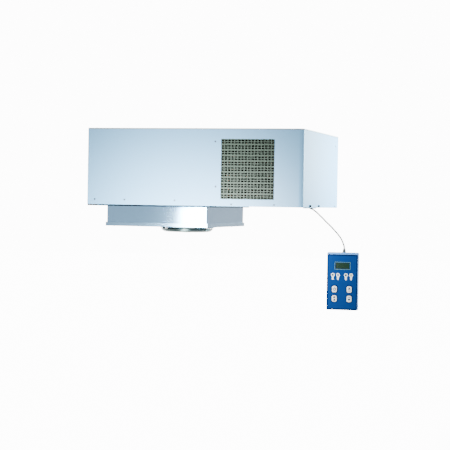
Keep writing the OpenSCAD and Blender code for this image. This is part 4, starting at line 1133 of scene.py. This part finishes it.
def make_motor(body, axis):
    """The fan's outer-rotor motor: a ribbed can with a bearing seat in front."""
    at_motor, radius, depth = stood(body + "_motor", axis)
    groove = radius - RIB_DEPTH
    front = [(BORE, 0), (BEARING_SEAT, 0), (radius / 2, 0.002), (radius / 2, 0.006),
             (radius * 0.9, 0.0062), (groove, 0.009)]
    rib = ((groove, 0), (radius, 0.0008), (radius, 0.0022), (groove, 0.003))
    back = [(groove, depth - 0.004), (radius * 0.88, depth - 0.0003), (BORE, depth - 0.0003),
            (BORE, 0)]
    profile = front + repeated(rib, MOTOR_RIBS, FIRST_RIB, RIB_PITCH) + back
    mesh = moved(lathe(body + "_can", profile), at_motor)
    add_piece(body + "_can", mesh, motor_paint, UNIT, body + "_motor", angle=40)


# Coils, compressor and drain

FIN = 0.00018
# The share of its node's length that a stack of fins fills
STACK_SHARE = 0.995
# Each pack: piece, node, the axis it is stacked along, fins, ripple, ripples, finish and slot
FIN_PACKS = (
    ("condenser_core", "condenser_fins", "X", 96, 0.0005, 4, dark_fin, "dark_fin"),
    ("evaporator_core", "evaporator_fins", "Y", 104, 0.0006, 5, fin_metal, "aluminium_fin"))
SHELL_BEND = 0.034
SHELL_BELT = 0.0014
WELD_SHARE = 0.6
DRAIN_WALL = 0.002
DRAIN_SPIGOT = 0.020
DRAIN_BARBS = 4
BARB_PITCH = 0.0042
BARB = 0.0014


def make_fins():
    """Both fin packs, closer together than the CAD model's."""
    for name, node, axis, count, ripple, ripples, finish, slot in FIN_PACKS:
        _, _, middle, size = measured(node)
        length, depth = (size.x, size.y) if axis == "X" else (size.y, size.x)
        core = fins.grow(name, {
            "Fins": count, "Pitch": (length - FIN) / (count - 1) * STACK_SHARE, "Thickness": FIN,
            "Depth": depth, "Height": size.z, "Ripple": ripple, "Ripples": ripples,
            "Finish": finish})
        moved(core, shift(*middle) @ turned(0 if axis == "X" else 90, "Z"))
        add_piece(name, core, None, replaces=node, angle=40)


def make_compressor():
    """The hermetic shell with its welded belt."""
    at_feet, radius, height = stood("compressor_shell")
    body = radius - SHELL_BELT
    foot = [(0, 0)] + arc((body - SHELL_BEND, SHELL_BEND), SHELL_BEND, -90, 0, 10)
    head = arc((body - SHELL_BEND, height - SHELL_BEND), SHELL_BEND, 0, 90, 10) + [(0, height)]
    belt = ((body, -0.004), (radius - 0.0002, -0.0028), (radius, 0), (radius - 0.0002, 0.0028),
            (body, 0.004))
    weld = repeated(belt, 1, height * WELD_SHARE, 0)
    mesh = moved(lathe("compressor_body", foot + weld + head, 72), at_feet)
    add_piece("compressor_body", mesh, compressor_paint,
              replaces="compressor_shell", angle=50)


def make_drain():
    """The condensate pipe, with barbs for a hose on its spigot."""
    at_pan, radius, length = stood("drain_pipe", "Y")
    inner = radius - DRAIN_WALL
    spigot = length - DRAIN_SPIGOT
    pipe = [(inner, 0), (inner + 0.001, 0), (inner + 0.001, spigot), (radius, spigot)]
    barb = ((radius, 0), (radius - BARB, 0.0034))
    mouth = [(radius - BARB, length), (inner - 0.0004, length), (inner, length - 0.001),
             (inner, 0)]
    profile = pipe + repeated(barb, DRAIN_BARBS, spigot + 0.002, BARB_PITCH) + mouth
    mesh = moved(lathe("drain_spigot", profile, 32), at_pan)
    add_piece("drain_spigot", mesh, grey_plastic, replaces="drain_pipe")


# Screws

SCREW_SEED = 3
# Half profiles, (radius, height), of a pan head on its washer and of a capped stud
HEAD_PROFILE = ((0, 0), (0.0042, 0), (0.0042, 0.0004), (0.0040, 0.0006), (0.0035, 0.00065),
                (0.0034, 0.0012), (0.0029, 0.0018), (0.0019, 0.00215), (0, 0.0022))
STUD_PROFILE = ((0, 0), (0.0052, 0), (0.0052, 0.0012), (0.0036, 0.0016), (0.0036, 0.0034),
                (0.0044, 0.0038), (0.0046, 0.0066), (0.0038, 0.0078), (0.0016, 0.0082),
                (0, 0.0083))
RECESS_ARM = Matrix.Diagonal((0.0038, 0.0008, 0.002, 1))
CLAMP_BAND = 0.02


def screw_head_object():
    """One pan head with a cross recess."""
    head = placed("screw_head", lathe("screw_head", HEAD_PROFILE, 20))
    bm = bmesh.new()
    for degrees in (0, 90):
        arm = turned(degrees, "Z") @ shift(z=HEAD_PROFILE[-1][1]) @ RECESS_ARM
        bmesh.ops.create_cube(bm, size=1, matrix=arm)
    cutter = placed("recess", mesh_of(bm, "recess"))
    cut = head.modifiers.new("recess", "BOOLEAN")
    cut.object = cutter
    cut.operation = "DIFFERENCE"
    cut.solver = "EXACT"
    cut.use_self = True
    mesh = evaluated(head)
    for each in (head, cutter):
        bpy.data.objects.remove(each)
    shade(mesh, 30)
    return placed("screw_head", mesh)


def stud_object():
    """A dark capped stud that stands out from the casing, with a waist below its cap."""
    mesh = lathe("stud", STUD_PROFILE, 16)
    shade(mesh, 40)
    return placed("stud", mesh)


def islands(mesh):
    """Lowest and highest corner of each separate solid of a CAD node."""
    bm = bmesh.new()
    bm.from_mesh(mesh)
    bmesh.ops.remove_doubles(bm, verts=bm.verts, dist=2e-6)
    seen, boxes = set(), []
    for start in bm.verts:
        if start in seen:
            continue
        seen.add(start)
        heap, found = [start], []
        while heap:
            vert = heap.pop()
            found.append(vert.co.copy())
            for link in vert.link_edges:
                other = link.other_vert(vert)
                if other not in seen:
                    seen.add(other)
                    heap.append(other)
        boxes.append((Vector(map(min, *found)), Vector(map(max, *found))))
    bm.free()
    return boxes


def screw_host(name, seats):
    """Points with their axes, for the screw recipe."""
    host = bpy.data.meshes.new(name)
    host.from_pydata([seat for seat, _ in seats], [], [])
    axes = host.attributes.new("axis", "FLOAT_VECTOR", "POINT")
    for item, (_, axis) in zip(axes.data, seats):
        item.vector = axis
    return host


def make_screws():
    """Screw heads where the CAD model has them; two dark studs hold the cable's bar."""
    centre = (casing_low + casing_high) / 2
    bright, dark = [], []
    for low, high in islands(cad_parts["casing_screws"].data):
        size, middle = high - low, (low + high) / 2
        k = min(range(3), key=lambda i: size[i])
        outward = Vector((0, 0, 0))
        outward[k] = 1 if middle[k] > centre[k] else -1
        seat = middle - outward * size[k] / 2
        on_foot_of_right_side = outward.x > 0 and middle.z < casing_low.z + CLAMP_BAND
        near_cable = on_foot_of_right_side and middle.y < centre.y
        (dark if near_cable else bright).append((seat, outward))
    for name, shape, seats, finish, node in (
            ("screw_heads", screw_head_object(), bright, screw_zinc, "casing_screws"),
            ("clamp_studs", stud_object(), dark, stud_black, ())):
        mesh = screws.grow(name, {"Head": shape, "Seed": SCREW_SEED, "Finish": finish},
                           screw_host(name, seats))
        add_piece(name, mesh, None, replaces=node, angle=0)
        bpy.data.objects.remove(shape)


# Handset

FOIL_FACE = overlay_low.y
RELIEF_TOP = 0.0055
RELIEF_FOLDS = 5
RELIEF_GROOVE = 0.0012
LENS_RISE = 0.0009
LAMP_MARK_RADIUS = 0.0081
LAMP_HOLE = 0.0047
LAMP_STEM = 0.0208
LAMP_STEM_HALF = 0.0034
LAMP_STEM_CORNER = 0.0015
PRINT = 0.00015


def make_relief():
    """The cable's flexible relief on top of the handset: folds that narrow upwards."""
    at_handset, wide, height = stood("remote_gland")
    profile = [(0, 0), (wide, 0), (wide, 0.002)]
    for k in range(RELIEF_FOLDS):
        start = 0.0024 + k * (height - 0.0035) / RELIEF_FOLDS
        radius = wide + (RELIEF_TOP - wide) * (k + 0.5) / RELIEF_FOLDS
        groove = radius - RELIEF_GROOVE
        profile += [(groove, start), (groove, start + 0.0008), (radius, start + 0.0011),
                    (radius, start + 0.0021)]
    profile += [(RELIEF_TOP - 0.0006, height - 0.0004), (RELIEF_TOP - 0.001, height), (0, height)]
    mesh = moved(lathe("cable_relief", profile, 28), at_handset)
    add_piece("cable_relief", mesh, strain_grey, replaces="remote_gland")


def lamp_places():
    """Middles of the four lamp lenses, from left to right."""
    found = [(low + high) / 2 for low, high in islands(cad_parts["led_lenses"].data)]
    return sorted(found, key=lambda middle: middle.x)


def lamp_mark_outline():
    """A round mark whose stem narrows downwards."""
    outline = arc((0, 0), LAMP_MARK_RADIUS, -58, 238, 22)
    for side, start in ((-1, 180), (1, 270)):
        middle = (side * (LAMP_STEM_HALF - LAMP_STEM_CORNER), LAMP_STEM_CORNER - LAMP_STEM)
        outline += arc(middle, LAMP_STEM_CORNER, start, start + 90, 3)
    return outline


def make_lamps():
    """White printed marks and a domed lens in the middle of each."""
    _, high, _, size = measured("led_lenses")
    radius = size.z / 2
    dome = [(0, size.y)] + [
        (radius * math.sin(t), size.y - LENS_RISE * (1 - math.cos(t)))
        for t in (math.radians(15 * k) for k in range(1, 7))] + [(radius, 0), (0, 0)]
    marks, lenses = [], []
    for index, place in enumerate(lamp_places()):
        mark = flat_shape("mark", [lamp_mark_outline(), circle_outline(LAMP_HOLE)], PRINT)
        marks.append(moved(mark, facing_front(place.x, FOIL_FACE, place.z)))
        lens = inked(lathe("lens", dome, 24), index)
        lenses.append(moved(lens, facing_front(place.x, high.y, place.z)))
    add_piece("lamp_marks", joined("lamp_marks", marks), print_white, angle=30)
    add_piece("lamp_lenses", joined("lamp_lenses", lenses),
              [lamp_dark, lamp_lilac, lamp_dark, lamp_straw],
              replaces="led_lenses", angle=50)


DISPLAY_INSET = 0.0022
DISPLAY_FRAME = 0.0015
DISPLAY_STRIP = 0.0036
DISPLAY_SIDE_STRIP = 1.2 * DISPLAY_STRIP
DISPLAY_GAP = 0.0001
HOLE_CORNER = 0.002
FRAME_CORNER = 0.0018
STRIP_CORNER = 0.001
GLASS_CORNER = 0.0008
FRAME_EDGE = 0.0003
GLASS_SINK = 0.0012
# Width of the painted shade along the display glass's edges
GLASS_SHADOW = 0.008
INK = 0.0001
SEGMENT = 0.0014
DIGIT_WIDTH = 0.0065
DIGIT_SHARE = 0.62
DIGIT_PITCH = 0.0125
POINT_RADIUS = 0.0009
POINT_PLACE = 0.0062


def segment_bars(width, height):
    """The seven bars of one digit, as outlines about its middle."""
    half, gap = height / 4, SEGMENT * 0.25
    lying = [(-width / 2 + gap, 0), (-width / 2 + SEGMENT / 2 + gap, SEGMENT / 2),
             (width / 2 - SEGMENT / 2 - gap, SEGMENT / 2), (width / 2 - gap, 0),
             (width / 2 - SEGMENT / 2 - gap, -SEGMENT / 2),
             (-width / 2 + SEGMENT / 2 + gap, -SEGMENT / 2)]
    standing = [(y, x * half * 2 / width) for x, y in lying]
    bars = [[(x, y + level) for x, y in lying] for level in (-2 * half, 0, 2 * half)]
    bars += [[(x + side * width / 2, y + level) for x, y in standing]
             for side in (-1, 1) for level in (-half, half)]
    return bars


def make_display():
    """A pale frame in a blue bed, and in it the dark unlit glass with resting digits."""
    _, high, middle, size = measured("display_window")
    x, z, depth = middle.x, middle.z, size.y
    width, height = size.x - 2 * DISPLAY_INSET, size.z - DISPLAY_INSET
    strip = (width - 2 * DISPLAY_FRAME, height - 2 * DISPLAY_FRAME)
    glass = (strip[0] - DISPLAY_SIDE_STRIP, strip[1] - DISPLAY_STRIP)
    pane = rounded_outline(*glass, GLASS_CORNER)
    corner = Vector((glass[0] / 2, 0, glass[1] / 2))
    centre = Vector((x, 0, z))
    lcd_green = dark_glass("lcd_green", rgb(0.0005, 0.022, 0.009), centre - corner,
                           centre + corner, GLASS_SHADOW)
    ring = flat_shape("display_frame", [rounded_outline(width, height, FRAME_CORNER),
                                        rounded_outline(*strip, STRIP_CORNER)], depth, FRAME_EDGE)
    inner = [rounded_outline(*(side - 2 * DISPLAY_GAP for side in strip), STRIP_CORNER), pane]
    outer = [rounded_outline(size.x, size.z, HOLE_CORNER),
             rounded_outline(width + DISPLAY_GAP, height + DISPLAY_GAP, FRAME_CORNER)]
    bed = joined("display_bed", [flat_shape("inner", inner, depth - 2 * FRAME_EDGE),
                                 flat_shape("outer", outer, depth - FRAME_EDGE)])
    window = flat_shape("display_glass", [pane], depth - GLASS_SINK)
    for name, mesh, finish, slot, node in (
            ("display_frame", ring, frame_mint, "display", "display_window"),
            ("display_bed", bed, foil_blue, "overlay_blue", ()),
            ("display_glass", window, lcd_green, "display", ())):
        add_piece(name, moved(mesh, facing_front(x, high.y, z)), finish, replaces=node)
    make_digits(x, high.y - depth + GLASS_SINK, z, glass[1] * DIGIT_SHARE)


def make_digits(x, y, z, height):
    """Three resting digits and a point, a shade darker than the glass."""
    resting = moulded("resting_segments", rgb(0.001, 0.017, 0.007), 0.3, 900, 0.01,
                      Specular_IOR_Level=0.06)
    digits = [moved(flat_shape("bar", [bar], INK), shift(place * DIGIT_PITCH))
              for place in (-1, 0, 1) for bar in segment_bars(DIGIT_WIDTH, height)]
    point = flat_shape("point", [circle_outline(POINT_RADIUS, 10)], INK)
    digits.append(moved(point, shift(POINT_PLACE, -height / 2)))
    mesh = moved(joined("display_digits", digits), facing_front(x, y, z))
    add_piece("display_digits", mesh, resting, angle=0)


SIGN = 0.0058
SIGN_SINK = 0.00012
BUTTON_CORNER = 0.007
BUTTON_FLANGE = 0.0034
BUTTON_SKIRT = 0.002
BUTTON_EDGE = 0.0016
RIM_REACH = 0.0028
RIM_GAP = 0.0004
RIM_HEIGHT = 0.0011
RIM_EDGE = 0.0003


def triangle_outline(size, up):
    return [(-size, -up * size * 0.8), (size, -up * size * 0.8), (0, up * size * 0.9)]


def bar_outline(half_width, half_height):
    return [(-half_width, -half_height), (half_width, -half_height),
            (half_width, half_height), (-half_width, half_height)]


def shifted(outline, signs):
    """An outline moved up by a share of the signs' own size."""
    return [(x, y + signs * SIGN) for x, y in outline]


def cap_outline(size, past, steps=8):
    """The outline of a button's cap, or one that lies a distance past it all round."""
    inset = 2 * (BUTTON_FLANGE - past)
    return rounded_outline(size.x - inset, size.z - inset, BUTTON_CORNER + past, steps)


def button_signs():
    """Plain signs: a round switch sign, raise, two dots and lower."""
    ring = arc((0, 0), SIGN * 1.2, 125, 415, 20) + arc((0, 0), SIGN * 0.6, 415, 125, 20)
    stroke = bar_outline(SIGN * 0.26, SIGN * 0.85)
    bar = bar_outline(SIGN * 1.1, SIGN * 0.24)
    dot = circle_outline(SIGN * 0.75, 16)
    size = SIGN * 1.15
    return {
        "button_upper_left": [ring, shifted(stroke, 0.8)],
        "button_upper_right": [shifted(triangle_outline(size, 1), 0.85), shifted(bar, -1.1)],
        "button_lower_left": [shifted(dot, 1), shifted(dot, -1)],
        "button_lower_right": [shifted(triangle_outline(size, -1), -0.7), shifted(bar, 1.25)]}


def make_buttons():
    """Domed caps with plain signs, each in a near-black rim on the foil that is painted shadow of the
    gap round it.
    """
    rims = []
    for node, outlines in button_signs().items():
        low, high, middle, size = measured(node)
        cap = flat_shape("cap", [cap_outline(size, 0)], size.y - BUTTON_SKIRT, BUTTON_EDGE)
        moved(cap, shift(z=BUTTON_SKIRT))
        skirt = flat_shape("skirt", [cap_outline(size, BUTTON_FLANGE, 6)], BUTTON_SKIRT)
        mesh = moved(joined("cap", [cap, skirt]), facing_front(middle.x, high.y, middle.z))
        body = node + "_key"
        add_piece(node + "_cap", mesh, button_white, body, node, angle=40)
        ink = print_teal if node == "button_lower_right" else print_dark
        sign = joined("sign", [flat_shape("sign", [part], PRINT) for part in outlines])
        moved(sign, facing_front(middle.x, low.y + SIGN_SINK, middle.z))
        add_piece(node + "_sign", sign, ink, body, angle=0)
        # Painted shadow: a near-black rim on the foil where the gap round the cap lies in shade
        rim = flat_shape("rim", [cap_outline(size, RIM_REACH), cap_outline(size, RIM_GAP)],
                         RIM_HEIGHT, RIM_EDGE)
        rims.append(moved(rim, facing_front(middle.x, FOIL_FACE, middle.z)))
    add_piece("button_rims", joined("button_rims", rims), rim_rubber)


# CAD nodes whose own shapes are right: finish, radius of the edges, slot and nodes
DRESSED = (
    (casing_paint, 0.0004, "casing_paint", "casing_wrap", "left_panel", "rear_panel"),
    (lid_paint, 0.0005, "lid_paint", "top_lid"),
    (zinc_sheet, 0.0005, "galvanised", "base_plate", "evap_fan_bracket", "condenser_fan_bracket"),
    (zinc_sheet, 0.0004, "galvanised", "condenser_shroud", "drip_pan", "electrical_box",
     "electrical_box_cover"),
    (gasket_foam, 0.0012, "gasket_foam", "ceiling_gasket"),
    (tray_steel, 0.0005, "galvanised", "bottom_tray"),
    (white_plastic, 0.0005, "white_plastic", "air_baffle"),
    (motor_paint, 0.0008, "compressor_paint", "compressor_feet"),
    (rubber, 0.0012, "rubber", "compressor_grommets"),
    (dark_plastic, 0.002, "dark_plastic", "terminal_cover"),
    (dark_plastic, 0.0006, "dark_plastic", "mains_gland"),
    (clamp_grey, 0.0007, "dark_plastic", "cable_clamp"),
    (board_green, 0.0004, "circuit_green", "control_board"),
    (shell_white, 0.0006, "white_plastic", "remote_front_shell"),
    (shell_white, 0.0014, "white_plastic", "remote_back_shell"),
    (foil_blue, 0.0002, "overlay_blue", "remote_overlay"))

# CAD nodes that stay as they are, with their finish
KEPT = (
    (copper, "evaporator_tubes", "condenser_tubes", "capillary_tube", "discharge_line",
     "liquid_line", "suction_line", "filter_drier"),
    (brass, "solenoid_valve"),
    (zinc_sheet, "evaporator_end_plates", "condenser_end_plates"),
    (slab_foam, "neck_lining", "chamber_insulation"),
    (board_green, "remote_board"))


for finish, edge, slot, *nodes in DRESSED:
    for node in nodes:
        dressed(node, finish, edge)
for finish, *nodes in KEPT:
    for node in nodes:
        kept(node, finish)
make_foot_sleeves()
make_grille("front_grille", "inlet_grille")
make_grille("back_grille", "rear_grille")
make_neck()
make_fan_press()
make_louvre()
make_guard()
make_fan(EVAP_FAN, "Z")
make_fan(CONDENSER_FAN, "Y")
make_fins()
make_compressor()
make_drain()
make_screws()
make_relief()
make_lamps()
make_display()
make_buttons()


# Floor, sky and lights

FLOOR_Z = -2.4
FLOOR_SIZE = 120.0
FLOOR_GLOW = 0.3
SKY = 1.0
BACKDROP = 13.0
BACKDROP_AZIMUTH = math.radians(15)
BACKDROP_HALF_WIDTH = math.radians(14)
BACKDROP_FADE = math.radians(12)
BACKDROP_NEAR = 0.8
BACKDROP_FAR = 4.0
behind = Vector((-math.sin(BACKDROP_AZIMUTH), math.cos(BACKDROP_AZIMUTH), 0))


def backdrop_share(tree, direction):
    """How far a direction lies within the white backdrop that is lit behind the unit."""
    towards = tree.node("ShaderNodeVectorMath", {"operation": "DOT_PRODUCT"}, {
        0: direction, 1: behind}, "Value")
    return tree.node("ShaderNodeMapRange", {"interpolation_type": "SMOOTHSTEP"}, {
        "Value": towards, "From Min": math.cos(BACKDROP_HALF_WIDTH + BACKDROP_FADE),
        "From Max": math.cos(BACKDROP_HALF_WIDTH)})


def make_floor():
    """A plain pale floor, far enough below the hanging unit, with a faint even glow and a painted
    glow, brighter behind the unit, that carries the sky's backdrop onto it.
    """
    bm = bmesh.new()
    bmesh.ops.create_grid(bm, x_segments=1, y_segments=1, size=FLOOR_SIZE / 2)
    floor = placed("floor", mesh_of(bm, "floor"))
    floor.location = (0, 0, FLOOR_Z)
    pale = Finish("pale_floor", rgb(0.97, 0.97, 0.97), 0.9, Emission_Strength=1.0)
    pale.tone(pale.noise(0.8, 3.0), 0.985)
    direction = pale.node("ShaderNodeVectorMath", {"operation": "NORMALIZE"}, {0: pale.place})
    _, depth, _ = pale.parts(pale.place)
    # Painted light: the floor glows, faintly everywhere and strongly behind the unit in the
    # backdrop's directions
    painted_glow = (pale.spread(depth, BACKDROP_NEAR, BACKDROP_FAR) * backdrop_share(pale, direction)
           * (BACKDROP - SKY) + FLOOR_GLOW)
    pale.set("Emission Color", pale.vector(painted_glow, painted_glow, painted_glow))
    floor.data.materials.append(pale.material)


def make_sky():
    """An even pale surrounding, brighter where a white backdrop would stand behind the unit."""
    world = bpy.data.worlds.new("studio")
    bpy.context.scene.world = world
    world.use_nodes = True
    sky = Tree(world.node_tree)
    background = world.node_tree.nodes["Background"]
    direction = sky.node("ShaderNodeTexCoord", output="Generated")
    sky.feed(background.inputs["Color"], rgb(1.0, 1.0, 1.0))
    sky.feed(background.inputs["Strength"], backdrop_share(sky, direction) * (BACKDROP - SKY) + SKY)


def make_light(name, place, aim, size, power, spread, lean=0.0, colour=(1.0, 1.0, 1.0)):
    """A soft rectangular lamp, which the camera itself doesn't see."""
    data = bpy.data.lights.new(name, "AREA")
    data.shape = "RECTANGLE"
    data.size, data.size_y = size
    data.energy = power
    data.spread = math.radians(spread)
    data.color = colour
    lamp = placed(name, data)
    turn = (Vector(aim) - Vector(place)).to_track_quat("-Z", "Y").to_matrix().to_4x4()
    lamp.matrix_world = shift(*place) @ turn @ turned(lean, "Z")
    lamp.visible_camera = False


make_floor()
make_sky()
make_light("low_front", place=(0.17, -1.2, -0.22), aim=(0.1, 0, -0.14), size=(0.6, 0.5),
           power=24, spread=77, lean=8)
make_light("right_side", place=(1.45, 0.95, 0.33), aim=(0.66, 0.4, 0.15), size=(0.7, 0.6),
           power=36, spread=70, colour=(0.62, 0.88, 1.0))
